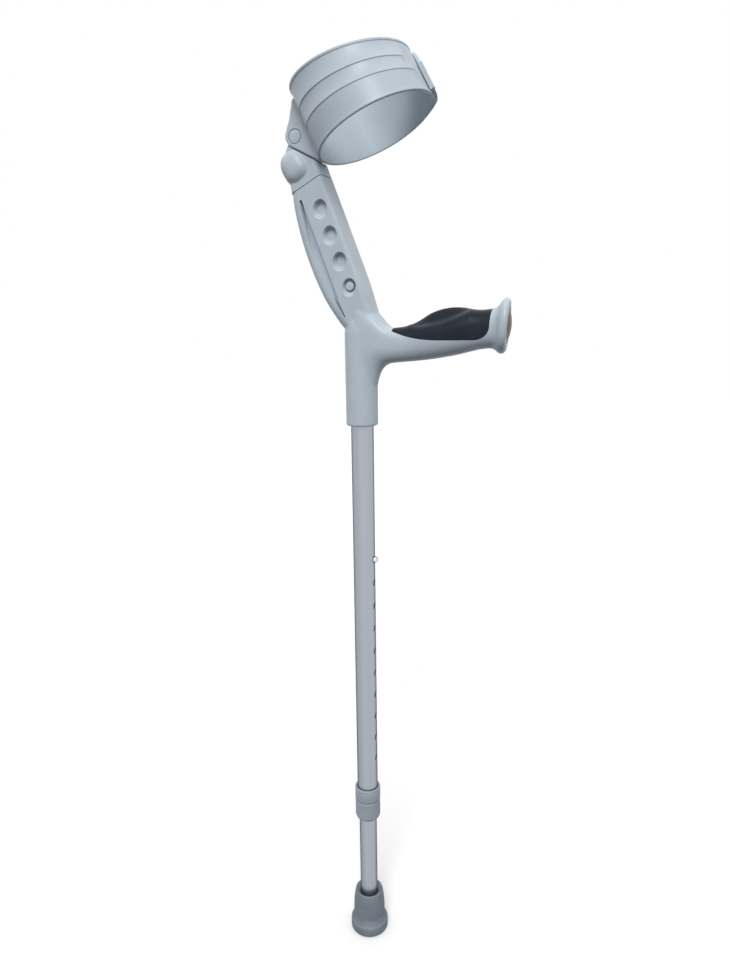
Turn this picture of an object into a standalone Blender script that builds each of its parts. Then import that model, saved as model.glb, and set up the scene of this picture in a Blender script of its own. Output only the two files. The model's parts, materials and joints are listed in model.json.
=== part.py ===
"""Forearm crutch: closed tilting cuff, sliding cuff height, moulded handle, telescopic leg.

Lengths are in metres. The origin is on the floor under the rubber foot, on the axis
of the two round tubes. Z is up, and the handle points along +X. The crutch stands at
its shortest setting, with both push buttons sprung out through their lowest settings.
"""

import math

import bmesh
import bpy
from mathutils import Matrix, Vector

# Fits
GAP = 0.0003
SLIDE_GAP = 0.0003
BUTTON_GAP = 0.0003
SEAM_GAP = 0.0006

# Round tubes
TUBE_OD = 0.022
TUBE_WALL = 0.0012
TUBE_LENGTH = 0.501
LEG_WALL = 0.0013
LEG_LENGTH = 0.4615
TUBE_STEPS = 36
HOLE_STEPS = 12
HOLE_PITCH = 0.025
HOLE_COUNT = 10
HOLE_BORE = 0.007
SNAP_TO_LEG_TOP = 0.026
TOP_HOLE_TO_TUBE_TOP = 0.223

# Rubber foot and its steel washer
FOOT_HEIGHT = 0.049
FOOT_FLOOR = 0.006
FOOT_BASE_R = 0.0212
FOOT_BODY_R = 0.0177
FOOT_MOUTH_R = 0.0142
FOOT_BASE_HEIGHT = 0.013
FOOT_STEP_HEIGHT = 0.0185
FOOT_FLUTES = 16
FOOT_FLUTE_DEPTH = 0.0005
FOOT_TREAD_DEPTH = 0.0015
TREAD_RINGS = (0.38, 0.70)
WASHER_THICKNESS = 0.0015

# Clamp at the bottom of the upper tube
SLEEVE_R = 0.0137
SLEEVE_HEIGHT = 0.0156
SLEEVE_GRIP = 0.0166
SPIGOT_R = 0.0122
SPIGOT_LENGTH = 0.0175
SPIGOT_WALL = 0.0009
LIP_HEIGHT = 0.0017
NUT_R = 0.0136
NUT_HEIGHT = 0.0232
NUT_FLOOR = 0.0045
NUT_FLUTES = 20
NUT_FLUTE_DEPTH = 0.0004
COLLET_SLOT = 0.002

# Snap button and the clip that springs it
SNAP_R = 0.0032
SNAP_REACH = 0.004
CLIP_WIDTH = 0.006
CLIP_THICKNESS = 0.0006
CLIP_LENGTH = 0.034
CLIP_HEAD = 0.006
CLIP_BEND_R = 0.003

# Plastic plugs in the tube ends
BUSH_FLANGE = 0.004
BUSH_DEPTH = 0.012
BUSH_BORE_R = 0.005
PLUG_FLANGE = 0.002
PLUG_DEPTH = 0.010

# Handle moulding: socket round the upper tube
SOCKET_R = 0.0155
SOCKET_DEPTH = 0.0866
SOCKET_EDGE = 0.0008
SOCKET_TOP = 0.108

# Handle moulding: leaning housing of the cuff slider
BEND_HEIGHT = 0.1154
HOUSING_TILT = math.radians(21.5)
HOUSING_TOP = 0.1145
TOP_SLOPE = math.tan(math.radians(5.0))
TOP_SLOPE_FROM = -0.013
HOUSING_FOOT = -0.024
HOUSING_FRONT = 0.012
HOUSING_DEPTH = 0.0284
HOUSING_BACK = 0.0222
RIB_BOW = 0.0087
RIB_ROUND = 0.85
RIB_FOOT = -0.018
FRONT_EDGE_R = 0.004
BACK_EDGE_R = 0.0075
GROOVE_LINE = 0.0138
GROOVE_BOW = 0.0072
GROOVE_END = 0.0015
GROOVE_FROM = -0.008
GROOVE_TO = 0.105
GROOVE_SINK = 0.0030
GROOVE_SLANT = 0.0010
GROOVE_SKEW = 0.85

# Handle moulding: rows of the bar are X, lowest Z, highest Z, half width (Z above the socket mouth)
BAR_ROWS = (
    (0.0100, 0.0440, 0.1120, 0.0146),
    (0.0158, 0.0390, 0.1090, 0.0145),
    (0.0174, 0.0450, 0.1062, 0.0145),
    (0.0197, 0.0510, 0.1035, 0.0144),
    (0.0235, 0.0560, 0.0990, 0.0143),
    (0.0275, 0.0586, 0.0945, 0.0142),
    (0.0315, 0.0597, 0.0921, 0.0142),
    (0.0360, 0.0603, 0.0923, 0.0143),
    (0.0460, 0.0612, 0.0938, 0.0147),
    (0.0560, 0.0621, 0.0978, 0.0158),
    (0.0670, 0.0633, 0.1042, 0.0170),
    (0.0740, 0.0643, 0.1070, 0.0177),
    (0.0810, 0.0654, 0.1088, 0.0181),
    (0.0900, 0.0670, 0.1098, 0.0182),
    (0.0990, 0.0690, 0.1094, 0.0179),
    (0.1080, 0.0712, 0.1078, 0.0174),
    (0.1150, 0.0727, 0.1072, 0.0171),
    (0.1200, 0.0734, 0.1075, 0.0170),
    (0.1265, 0.0734, 0.1086, 0.0174),
    (0.1300, 0.0715, 0.1110, 0.0190),
    (0.1324, 0.0697, 0.1150, 0.0216),
    (0.1350, 0.0690, 0.1172, 0.0232),
    (0.1376, 0.0698, 0.1166, 0.0230),
    (0.1392, 0.0719, 0.1147, 0.0213),
)
BAR_ROUNDNESS = 2.3
ROOT_SQUARENESS = 2.2
END_LEAN = math.radians(4.0)
END_TURN = math.radians(7.0)
LEAN_FROM = 0.110
HUG_TO = 0.044

# Palm rest: the top of the bar swells on its far side, behind a soft edge
PALM_RISE = 0.0098
PALM_FROM = 0.055
PALM_TO = 0.1125
PALM_EDGE = 0.0075
PALM_FLANK = 0.0100

# Palm pad let into the bar
PAD_THICKNESS = 0.0065
PAD_FROM = 0.0335
PAD_TO = 0.1255
PAD_TIP_Z = 0.0895
PAD_EDGE_Z = 0.0815
PAD_FLAT_FROM = 0.078
PAD_CORNER_X = 0.014
PAD_CORNER_Z = 0.0115

# End disc of the bar
DISC_R = 0.0155
DISC_THICKNESS = 0.002
DISC_DOME = 0.003
DISC_STEPS = 32

# Cuff slider: shaft, head and push button
SHAFT_FRONT = 0.009
SHAFT_DEPTH = 0.0186
SHAFT_FOOT = 0.013
SHAFT_EDGE_R = 0.0015
CUFF_STEP = 0.025
CUFF_STEPS = 4
LOWEST_STEP = 0.0158
DISH_R = 0.0074
DISH_DEPTH = 0.0026
CUFF_BUTTON_R = 0.0040
CUFF_BUTTON_FLANGE_R = 0.0056
CUFF_BUTTON_FLANGE = 0.0018
CUFF_BUTTON_SINK = 0.0020
CUFF_BUTTON_WALL = 0.002
BUTTON_STEPS = 20
COIL_WIRE_R = 0.0004
COIL_R = 0.0040
COIL_TURNS = 5
PIVOT_ALONG = 0.157
PIVOT_OUT = 0.001
NECK_ALONG = 0.1465
NECK_BACK = 0.0138
HEAD_TOP_BACK = 0.0100
SEAM_DROP = 0.0098
SEAM_SLOPE = math.radians(27.5)
BULGE_ALONG = 0.025
BULGE_BACK = 0.0092
BULGE_LENGTH_R = 0.0199
BULGE_WIDTH_R = 0.0173
BULGE_DEPTH_R = 0.0195

# Cuff pivot
PIVOT_R = 0.003
PIVOT_CAP_R = 0.0061
PIVOT_CAP = 0.002
TONGUE_R = 0.0084
TONGUE_THICKNESS = 0.0100
TONGUE_WIDTH = 0.0145
TONGUE_ROOT = 0.006
TONGUE_STEP = 0.0018
TONGUE_STEP_TO = 0.0245
FORK_GAP = 0.0004
FORK_SLOT_R = 0.0090
BRACKET_DEPTH = 0.0262
BRACKET_EDGE = 0.0015
FORK_BACK = (
    (99.5, 0.0227),
    (105.0, 0.0184),
    (113.0, 0.0148),
    (128.0, 0.0120),
    (147.0, 0.0104),
    (168.0, 0.0100),
    (190.0, 0.0098),
    (203.0, 0.0095),
    (215.0, 0.0094),
)
FORK_HEEL = 0.0022

# Cuff band: two round rims that lean differently, so that the band is deeper at the back
LOW_RIM_X = 0.0740
LOW_RIM_Z = 0.0010
LOW_RIM_R = 0.0563
LOW_RIM_LEAN = math.radians(25.3)
HIGH_RIM_X = 0.0492
HIGH_RIM_Z = 0.0507
HIGH_RIM_R = 0.0552
HIGH_RIM_LEAN = math.radians(15.6)
BAND_WALL = 0.0022
RIM_PROUD = 0.0006
RIM_HEIGHT = 0.0026
LINE_DEPTH = 0.0007
LINE_WIDTH = 0.0012
LINES = ((0.42, 176.0), (0.67, 169.0))
LINE_FADE = 10.0
NEAR_END = 206.0
FAR_END = -181.0
OVERLAP_FROM = -122.0
OVERLAP_FULL = -150.0
OVERLAP_GAP = 0.0005
TAB_ANGLE = 5.0
TAB_PROUD = 0.0014
TAB_LOW_TRIM = 0.0018
TAB_HIGH_TRIM = 0.0165
TRIM_ANGLE = 24.0
BAND_STEP = 10.0

# Derived heights, from the floor up
LEG_R = TUBE_OD / 2 - TUBE_WALL - SLIDE_GAP
LEG_BORE_R = LEG_R - LEG_WALL
TUBE_BORE_R = TUBE_OD / 2 - TUBE_WALL
LEG_BOTTOM = FOOT_FLOOR + GAP + WASHER_THICKNESS + GAP
LEG_TOP = LEG_BOTTOM + LEG_LENGTH
SNAP_Z = LEG_TOP - SNAP_TO_LEG_TOP
TUBE_TOP = SNAP_Z + TOP_HOLE_TO_TUBE_TOP
TUBE_BOTTOM = TUBE_TOP - TUBE_LENGTH
SLEEVE_TOP = TUBE_BOTTOM + SLEEVE_GRIP
SLEEVE_BOTTOM = SLEEVE_TOP - SLEEVE_HEIGHT
SOCKET_BOTTOM = TUBE_TOP - SOCKET_DEPTH
BEND = Vector((0.0, 0.0, SOCKET_BOTTOM + BEND_HEIGHT))
UP_HOUSING = Vector((-math.sin(HOUSING_TILT), 0.0, math.cos(HOUSING_TILT)))
OUT_HOUSING = Vector((math.cos(HOUSING_TILT), 0.0, math.sin(HOUSING_TILT)))
SEAM_ALONG = Vector((math.cos(SEAM_SLOPE), 0.0, -math.sin(SEAM_SLOPE)))
SEAM_UP = Vector((math.sin(SEAM_SLOPE), 0.0, math.cos(SEAM_SLOPE)))
SIDE = Vector((0.0, 1.0, 0.0))
UP = Vector((0.0, 0.0, 1.0))


def in_housing(along, out, side=0.0):
    """Point given along the leaning housing, out towards its front, and sideways."""
    return BEND + UP_HOUSING * along + OUT_HOUSING * out + SIDE * side


PIVOT = in_housing(PIVOT_ALONG, PIVOT_OUT)
BUTTON_AT = in_housing(LOWEST_STEP, 0.0)
HEAD_FOOT = HOUSING_TOP + GAP
CHANNEL_FRONT = SHAFT_FRONT + SLIDE_GAP
CHANNEL_DEPTH = SHAFT_DEPTH + 2 * SLIDE_GAP


def material(name, colour, roughness, metallic=0.0):
    """Plain surface of one colour."""
    made = bpy.data.materials.new(name)
    made.use_nodes = True
    surface = made.node_tree.nodes["Principled BSDF"]
    surface.inputs["Base Color"].default_value = (*colour, 1.0)
    surface.inputs["Roughness"].default_value = roughness
    surface.inputs["Metallic"].default_value = metallic
    return made


def place(name, bm, surface, sharp=35.0):
    """Turn a bmesh into a named, smoothly shaded object."""
    bmesh.ops.recalc_face_normals(bm, faces=bm.faces)
    mesh = bpy.data.meshes.new(name)
    bm.to_mesh(mesh)
    bm.free()
    mesh.shade_smooth()
    mesh.set_sharp_from_angle(angle=math.radians(sharp))
    made = bpy.data.objects.new(name, mesh)
    bpy.context.collection.objects.link(made)
    if surface is not None:
        made.data.materials.append(surface)
    return made


def guide(name, bm):
    """Shape that only cuts or joins another piece."""
    made = place(name, bm, None)
    made.hide_render = True
    made.display_type = "WIRE"
    return made


def combine(target, other, operation):
    """Boolean modifier that stays live on the target."""
    made = target.modifiers.new(operation.title(), "BOOLEAN")
    made.operation = operation
    made.object = other
    made.solver = "EXACT"


def carry(child, parent):
    """Parent a piece without moving it."""
    child.parent = parent
    child.matrix_parent_inverse = parent.matrix_world.inverted()


def joint_origin(name, at):
    """Empty on a joint's axis, which carries the pieces that move together."""
    made = bpy.data.objects.new(name, None)
    made.empty_display_size = 0.01
    made.matrix_world = Matrix.Translation(at)
    bpy.context.collection.objects.link(made)
    return made


def turned(profile, steps=48):
    """Solid of revolution about Z. A profile that starts and ends at radius 0 stays open there."""
    bm = bmesh.new()
    verts = [bm.verts.new((radius, 0.0, height)) for radius, height in profile]
    edges = [bm.edges.new(pair) for pair in zip(verts, verts[1:])]
    if profile[0][0] > 0.0:
        edges.append(bm.edges.new((verts[-1], verts[0])))
    bmesh.ops.spin(
        bm, geom=verts + edges, axis=(0, 0, 1), cent=(0, 0, 0), angle=math.tau, steps=steps, use_merge=True
    )
    bmesh.ops.remove_doubles(bm, verts=bm.verts, dist=1e-7)
    return bm


def on_axis(bm, at, axis):
    """Move a shape that was made about Z so that its Z axis starts at a point and runs along an axis."""
    turn = Vector((0, 0, 1)).rotation_difference(axis).to_matrix().to_4x4()
    bmesh.ops.transform(bm, matrix=Matrix.Translation(at) @ turn, verts=bm.verts)
    return bm


def lofted(rings, endless=False):
    """Skin through rings of equal count. An endless loft joins its last ring to its first."""
    bm = bmesh.new()
    loops = [[bm.verts.new(point) for point in ring] for ring in rings]
    pairs = list(zip(loops, loops[1:]))
    if endless:
        pairs.append((loops[-1], loops[0]))
    for low, high in pairs:
        for here in range(len(low)):
            after = (here + 1) % len(low)
            bm.faces.new((low[here], low[after], high[after], high[here]))
    if not endless:
        bm.faces.new(reversed(loops[0]))
        bm.faces.new(loops[-1])
    return bm


def rounded_box(back, front, depth, back_r, front_r, arc=5):
    """Corner-rounded rectangle as (out, side) pairs, counterclockwise from the front edge."""
    half = depth / 2
    corners = (
        (front - front_r, half - front_r, front_r, 0.0),
        (back + back_r, half - back_r, back_r, 90.0),
        (back + back_r, back_r - half, back_r, 180.0),
        (front - front_r, front_r - half, front_r, 270.0),
    )
    points = []
    for out, side, radius, start in corners:
        for step in range(arc):
            angle = math.radians(start + 90.0 * step / (arc - 1))
            points.append((out + radius * math.cos(angle), side + radius * math.sin(angle)))
    return points


def together(shapes):
    """One bmesh that holds several separate shapes."""
    bm = bmesh.new()
    for shape in shapes:
        mesh = bpy.data.meshes.new("shape")
        shape.to_mesh(mesh)
        shape.free()
        bm.from_mesh(mesh)
        bpy.data.meshes.remove(mesh)
    return bm


def prism(outline, depth):
    """Outline of (X, Z) points drawn out along Y, half to each side."""
    low = [Vector((x, -depth / 2, z)) for x, z in outline]
    high = [Vector((x, depth / 2, z)) for x, z in outline]
    return lofted([low, high])


def slab(at, along, up, size):
    """Box round a point, with its sides along two given directions and Y."""
    width, depth, height = size
    bm = bmesh.new()
    bmesh.ops.create_cube(bm, size=1.0)
    across = up.cross(along).normalized()
    axes = Matrix((along * width, across * depth, up * height)).transposed().to_4x4()
    bmesh.ops.transform(bm, matrix=Matrix.Translation(at) @ axes, verts=bm.verts)
    return bm


def cylinder(radius, length, at, axis, steps=32):
    """Plain cylinder that starts at a point."""
    return on_axis(turned([(0, 0), (radius, 0), (radius, length), (0, length)], steps), at, axis)


def ease(value):
    """Smooth step from 0 to 1."""
    value = min(max(value, 0.0), 1.0)
    return value * value * (3 - 2 * value)


def fluted_ring(radius, height, flutes, depth, per_flute):
    """Level ring whose radius dips between flutes."""
    count = flutes * per_flute
    points = []
    for step in range(count):
        dip = 0.5 - 0.5 * math.cos(math.tau * step / per_flute)
        angle = math.tau * step / count
        reach = radius - depth * dip
        points.append(Vector((reach * math.cos(angle), reach * math.sin(angle), height)))
    return points


def rib_back(along):
    """How far the bowed back of the housing stands behind its axis."""
    middle = (RIB_FOOT + HOUSING_TOP) / 2
    half = (HOUSING_TOP - RIB_FOOT) / 2
    share = max(0.0, 1 - ((along - middle) / half) ** 2)
    return -(HOUSING_BACK + RIB_BOW * share**RIB_ROUND)


def pipe(bore, outer, bottom, top):
    """Profile of a plain tube."""
    return [(bore, bottom), (outer, bottom), (outer, top), (bore, top)]


def upper_tube(surface):
    """Straight tube with a row of height holes towards the handle."""
    profile = pipe(TUBE_BORE_R, TUBE_OD / 2, TUBE_BOTTOM, TUBE_TOP)
    made = place("upper_tube", turned(profile, TUBE_STEPS), surface)
    drills = []
    for row in range(HOLE_COUNT):
        at = Vector((TUBE_BORE_R - 0.003, 0.0, SNAP_Z - HOLE_PITCH * row))
        drills.append(cylinder(HOLE_BORE / 2, 0.008, at, Vector((1, 0, 0)), HOLE_STEPS))
    combine(made, guide("height_holes", together(drills)), "DIFFERENCE")
    return made


def lower_tube(surface):
    """Leg tube that slides in the upper tube, with one hole for the snap button."""
    made = place("lower_tube", turned(pipe(LEG_BORE_R, LEG_R, LEG_BOTTOM, LEG_TOP), TUBE_STEPS), surface)
    at = (LEG_BORE_R - 0.003, 0.0, SNAP_Z)
    drill = guide("snap_hole", cylinder(HOLE_BORE / 2, 0.008, at, Vector((1, 0, 0)), HOLE_STEPS))
    combine(made, drill, "DIFFERENCE")
    return made


def glide_bush(surface):
    """Collar plug in the top of the leg that steadies it in the upper tube."""
    spigot = LEG_BORE_R - GAP
    bottom = LEG_TOP - BUSH_DEPTH
    seat = LEG_TOP + GAP
    profile = [
        (BUSH_BORE_R, bottom),
        (spigot - 0.0006, bottom),
        (spigot, bottom + 0.001),
        (spigot, seat),
        (LEG_R, seat),
        (LEG_R, seat + BUSH_FLANGE - 0.0006),
        (LEG_R - 0.0006, seat + BUSH_FLANGE),
        (BUSH_BORE_R, seat + BUSH_FLANGE),
    ]
    return place("glide_bush", turned(profile, 24), surface)


def tube_plug(surface):
    """Cap that closes the top of the upper tube inside the handle moulding."""
    spigot = TUBE_BORE_R - GAP
    bottom = TUBE_TOP - PLUG_DEPTH
    seat = TUBE_TOP + GAP
    rim = TUBE_OD / 2 - 0.0002
    profile = [
        (0, bottom + 0.007),
        (spigot - 0.002, bottom + 0.007),
        (spigot - 0.002, bottom),
        (spigot - 0.0006, bottom),
        (spigot, bottom + 0.001),
        (spigot, seat),
        (rim, seat),
        (rim, seat + PLUG_FLANGE),
        (0, seat + PLUG_FLANGE),
    ]
    return place("tube_plug", turned(profile, 24), surface)


def clamp_sleeve(surface):
    """Collar on the end of the upper tube, with a spigot that the nut screws on."""
    bore = TUBE_OD / 2 + GAP
    lip_top = TUBE_BOTTOM - GAP
    lip_bottom = lip_top - LIP_HEIGHT
    spigot_bottom = SLEEVE_BOTTOM - SPIGOT_LENGTH
    profile = [
        (bore, SLEEVE_TOP),
        (bore, lip_top),
        (LEG_R + GAP, lip_top),
        (LEG_R + GAP, lip_bottom),
        (SPIGOT_R - SPIGOT_WALL, lip_bottom),
        (SPIGOT_R - SPIGOT_WALL, spigot_bottom),
        (SPIGOT_R, spigot_bottom),
        (SPIGOT_R, SLEEVE_BOTTOM),
        (SLEEVE_R - 0.0008, SLEEVE_BOTTOM),
        (SLEEVE_R, SLEEVE_BOTTOM + 0.0008),
        (SLEEVE_R, SLEEVE_TOP - 0.0010),
        (SLEEVE_R - 0.0004, SLEEVE_TOP - 0.0003),
        (SLEEVE_R - 0.0010, SLEEVE_TOP),
    ]
    return place("clamp_sleeve", turned(profile, 28), surface)


def clamp_nut(surface):
    """Fluted nut under the sleeve."""
    top = SLEEVE_BOTTOM - GAP
    bottom = top - NUT_HEIGHT
    bore = SPIGOT_R + GAP
    outer = (
        (NUT_R - 0.0034, bottom, 0.0),
        (NUT_R - 0.0013, bottom + 0.0012, 0.3),
        (NUT_R, bottom + 0.0050, 1.0),
        (NUT_R, top - 0.0022, 1.0),
        (NUT_R, top - 0.0014, 0.0),
        (NUT_R - 0.0005, top, 0.0),
    )
    inner = (
        (bore, top),
        (bore, bottom + NUT_FLOOR),
        (LEG_R + GAP, bottom + NUT_FLOOR),
        (LEG_R + GAP, bottom),
    )
    rings = [fluted_ring(r, z, NUT_FLUTES, NUT_FLUTE_DEPTH * share, 2) for r, z, share in outer]
    rings += [fluted_ring(r, z, NUT_FLUTES, 0.0, 2) for r, z in inner]
    return place("clamp_nut", lofted(rings, endless=True), surface, 50.0)


def clamp_collet(surface):
    """Split ring that the nut squeezes on to the leg."""
    top = TUBE_BOTTOM - GAP - LIP_HEIGHT - GAP
    bottom = SLEEVE_BOTTOM - GAP - NUT_HEIGHT + NUT_FLOOR + GAP
    outer = SPIGOT_R - SPIGOT_WALL - GAP
    bore = LEG_R + GAP
    profile = [(bore, bottom), (outer - 0.0004, bottom), (outer, bottom + 0.0030), (outer, top), (bore, top)]
    made = place("clamp_collet", turned(profile, 28), surface)
    middle = Vector((0.0, -outer, (top + bottom) / 2))
    slot = slab(middle, Vector((1, 0, 0)), Vector((0, 0, 1)), (COLLET_SLOT, outer, 2 * (top - bottom)))
    combine(made, guide("collet_slot", slot), "DIFFERENCE")
    return made


def snap_button(surface):
    """Domed steel button that stands out through both tubes."""
    start = clip_face() + GAP
    tip = TUBE_OD / 2 + SNAP_REACH
    dome = [(0, start), (SNAP_R, start)]
    steps = 5
    for step in range(steps + 1):
        angle = math.pi / 2 * step / steps
        dome.append((SNAP_R * math.cos(angle), tip - SNAP_R * (1 - math.sin(angle))))
    dome[-1] = (0, tip)
    button = on_axis(turned(dome, 20), Vector((0, 0, SNAP_Z)), Vector((1, 0, 0)))
    return place("snap_button", button, surface)


def clip_face():
    """Distance of the clip's outer face from the tube axis, where its edges clear the bore."""
    return math.sqrt(LEG_BORE_R**2 - (CLIP_WIDTH / 2) ** 2) - 1.5 * GAP


def snap_clip(surface):
    """Bent strip spring inside the leg, with its bend at the bottom."""
    middle = clip_face() - CLIP_THICKNESS / 2
    bend_z = SNAP_Z - CLIP_LENGTH
    path = [Vector((middle, 0, SNAP_Z + CLIP_HEAD)), Vector((middle, 0, SNAP_Z - CLIP_HEAD))]
    bend_steps = 10
    for step in range(bend_steps + 1):
        angle = math.pi * step / bend_steps
        path.append(Vector((CLIP_BEND_R * math.cos(angle), 0, bend_z - CLIP_BEND_R * math.sin(angle))))
    path.append(Vector((-middle, 0, SNAP_Z - CLIP_HEAD)))
    path.append(Vector((-middle, 0, SNAP_Z + CLIP_HEAD)))
    rings = []
    for here, point in enumerate(path):
        ahead = path[min(here + 1, len(path) - 1)] - path[max(here - 1, 0)]
        across = ahead.normalized().cross(SIDE) * (CLIP_THICKNESS / 2)
        wide = SIDE * (CLIP_WIDTH / 2)
        near, far = point - across, point + across
        rings.append([near - wide, far - wide, far + wide, near + wide])
    return place("snap_clip", lofted(rings), surface)


def rubber_foot(surface):
    """Rubber tip: a fluted cup on a wide base with two tread grooves underneath."""
    crown = (FOOT_HEIGHT - FOOT_STEP_HEIGHT) / 6
    outer = [
        (FOOT_BASE_R - 0.0010, 0.0, 0),
        (FOOT_BASE_R - 0.0002, 0.0010, 0),
        (FOOT_BASE_R, FOOT_BASE_HEIGHT * 0.6, 0),
        (FOOT_BASE_R - 0.0004, FOOT_BASE_HEIGHT, 0),
        (FOOT_BASE_R - 0.0014, FOOT_BASE_HEIGHT + 0.0014, 0),
        (FOOT_BODY_R + 0.0006, FOOT_STEP_HEIGHT - 0.0008, 0),
        (FOOT_BODY_R, FOOT_STEP_HEIGHT, 0),
        (FOOT_BODY_R, FOOT_STEP_HEIGHT + 0.0012, 1),
    ]
    for step in range(1, 6):
        share = step / 5.6
        radius = FOOT_BODY_R - (FOOT_BODY_R - FOOT_MOUTH_R) * share**2.6
        outer.append((radius, FOOT_STEP_HEIGHT + crown * (step + 0.5), 1 - ease(share * 1.05)))
    outer.append((FOOT_MOUTH_R, FOOT_HEIGHT - 0.0008, 0))
    outer.append((FOOT_MOUTH_R - 0.0008, FOOT_HEIGHT, 0))
    bore = LEG_R + GAP
    inner = [(bore + 0.0008, FOOT_HEIGHT), (bore, FOOT_HEIGHT - 0.0010), (bore, FOOT_FLOOR)]
    rings = [fluted_ring(r, z, FOOT_FLUTES, FOOT_FLUTE_DEPTH * share, 2) for r, z, share in outer]
    rings += [fluted_ring(r, z, FOOT_FLUTES, 0.0, 2) for r, z in inner]
    made = place("rubber_foot", lofted(rings[::-1]), surface, 50.0)
    for number, share in enumerate(TREAD_RINGS):
        middle = FOOT_BASE_R * share
        groove = [
            (middle - 0.0016, -0.002),
            (middle + 0.0016, -0.002),
            (middle + 0.0012, FOOT_TREAD_DEPTH),
            (middle - 0.0012, FOOT_TREAD_DEPTH),
        ]
        combine(made, guide(f"tread_groove_{number + 1}", turned(groove, 24)), "DIFFERENCE")
    return made


def foot_washer(surface):
    """Steel disc that keeps the tube from cutting through the rubber."""
    bottom = FOOT_FLOOR + GAP
    edge = LEG_R - 0.0001
    profile = [(0, bottom), (edge, bottom), (edge, bottom + WASHER_THICKNESS), (0, bottom + WASHER_THICKNESS)]
    return place("foot_washer", turned(profile, 24), surface)


def bar_ring(row, inset=0.0):
    """One rounded section of the bar, wrapping round the socket at the root and turning at the tip."""
    x, low, high, half_width = row
    low, high = low + inset, high - inset
    half_width = half_width - inset
    middle, half = (low + high) / 2, (high - low) / 2
    end_x = BAR_ROWS[-1][0]
    at_tip = ease((x - LEAN_FROM) / (end_x - LEAN_FROM))
    hug = 1 - ease((x - SOCKET_R) / (HUG_TO - SOCKET_R))
    along_palm = min(max((x - PALM_FROM) / (PALM_TO - PALM_FROM), 0.0), 1.0)
    swell = PALM_RISE * math.sin(math.pi * along_palm)
    count = 28
    points = []
    for step in range(count):
        angle = math.tau * step / count
        power = BAR_ROUNDNESS + (ROOT_SQUARENESS * hug if math.sin(angle) > 0 else 0.0)
        wide = math.copysign(abs(math.cos(angle)) ** (2 / power), math.cos(angle))
        tall = math.copysign(abs(math.sin(angle)) ** (2 / power), math.sin(angle))
        rise = half * tall
        side = half_width * wide
        wrap = hug * (SOCKET_R - math.sqrt(SOCKET_R**2 - side**2)) if hug > 0 else 0.0
        turn = at_tip * (math.tan(END_LEAN) * rise - math.tan(END_TURN) * side)
        drop = swell * (1 - ease((side + PALM_EDGE) / PALM_FLANK)) * max(0.0, tall)
        points.append(Vector((x - wrap + turn, side, SOCKET_BOTTOM + middle + rise - drop)))
    return points


def pad_outline(grow):
    """Side outline of the palm pad, from its tip round the lower edge to its outer end."""
    points = []
    steps = 10
    for step in range(steps + 1):
        x = PAD_FROM + (PAD_FLAT_FROM - PAD_FROM) * step / steps
        rise = (PAD_TIP_Z - PAD_EDGE_Z) * ((PAD_FLAT_FROM - x) / (PAD_FLAT_FROM - PAD_FROM)) ** 2.4
        points.append((x - grow, PAD_EDGE_Z + rise - grow))
    for step in range(7):
        angle = math.pi / 2 * step / 6
        x = PAD_TO - PAD_CORNER_X * (1 - math.sin(angle))
        z = PAD_EDGE_Z + PAD_CORNER_Z * (1 - math.cos(angle))
        points.append((x + grow * math.sin(angle), z - grow * math.cos(angle)))
    top = BAR_ROWS[-1][2] + 0.01
    lean = math.tan(END_LEAN) * (top - PAD_EDGE_Z - PAD_CORNER_Z) * 0.5
    points.append((PAD_TO + grow + lean, top))
    points.append((PAD_FROM - grow, top))
    return [(x, SOCKET_BOTTOM + z) for x, z in points]


def pad_core(name, inset):
    """Spine of the bar under the pad."""
    rows = [row for row in BAR_ROWS if PAD_FROM - 0.008 < row[0] < PAD_TO + 0.003]
    return guide(name, lofted([bar_ring(row, inset) for row in rows]))


def grip_pad(surface):
    """Soft palm pad that lies flush in the top of the bar."""
    rows = [row for row in BAR_ROWS if PAD_FROM - 0.011 < row[0] < PAD_TO + 0.006]
    made = place("grip_pad", lofted([bar_ring(row) for row in rows]), surface)
    zone = guide("pad_zone", prism(pad_outline(0.0), 0.08))
    combine(made, zone, "INTERSECT")
    combine(made, pad_core("pad_bed", PAD_THICKNESS - GAP), "DIFFERENCE")
    return made


def end_face():
    """Middle of the bar's end face and the way it looks."""
    x, low, high, _ = BAR_ROWS[-1]
    out = Vector((1.0, math.tan(END_TURN), -math.tan(END_LEAN))).normalized()
    return Vector((x, 0, SOCKET_BOTTOM + (low + high) / 2)), out


def end_disc(surface):
    """Domed disc let into the end of the bar."""
    at, out = end_face()
    profile = [(0, -DISC_THICKNESS), (DISC_R, -DISC_THICKNESS), (DISC_R, -GAP)]
    steps = 5
    for step in range(steps + 1):
        radius = (DISC_R - GAP) * (1 - step / steps)
        profile.append((radius, DISC_DOME * (1 - (radius / DISC_R) ** 2)))
    return place("end_disc", on_axis(turned(profile, DISC_STEPS), at - out * GAP, out), surface)


def housing_rings(rows):
    """Sections across the leaning housing: rows of along, back, depth, back and front edge radius, slope."""
    rings = []
    for along, back, depth, back_r, front_r, slope in rows:
        section = rounded_box(back, HOUSING_FRONT, depth, back_r, front_r)
        rings.append([in_housing(along + slope * (out - TOP_SLOPE_FROM), out, side) for out, side in section])
    return rings


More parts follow.
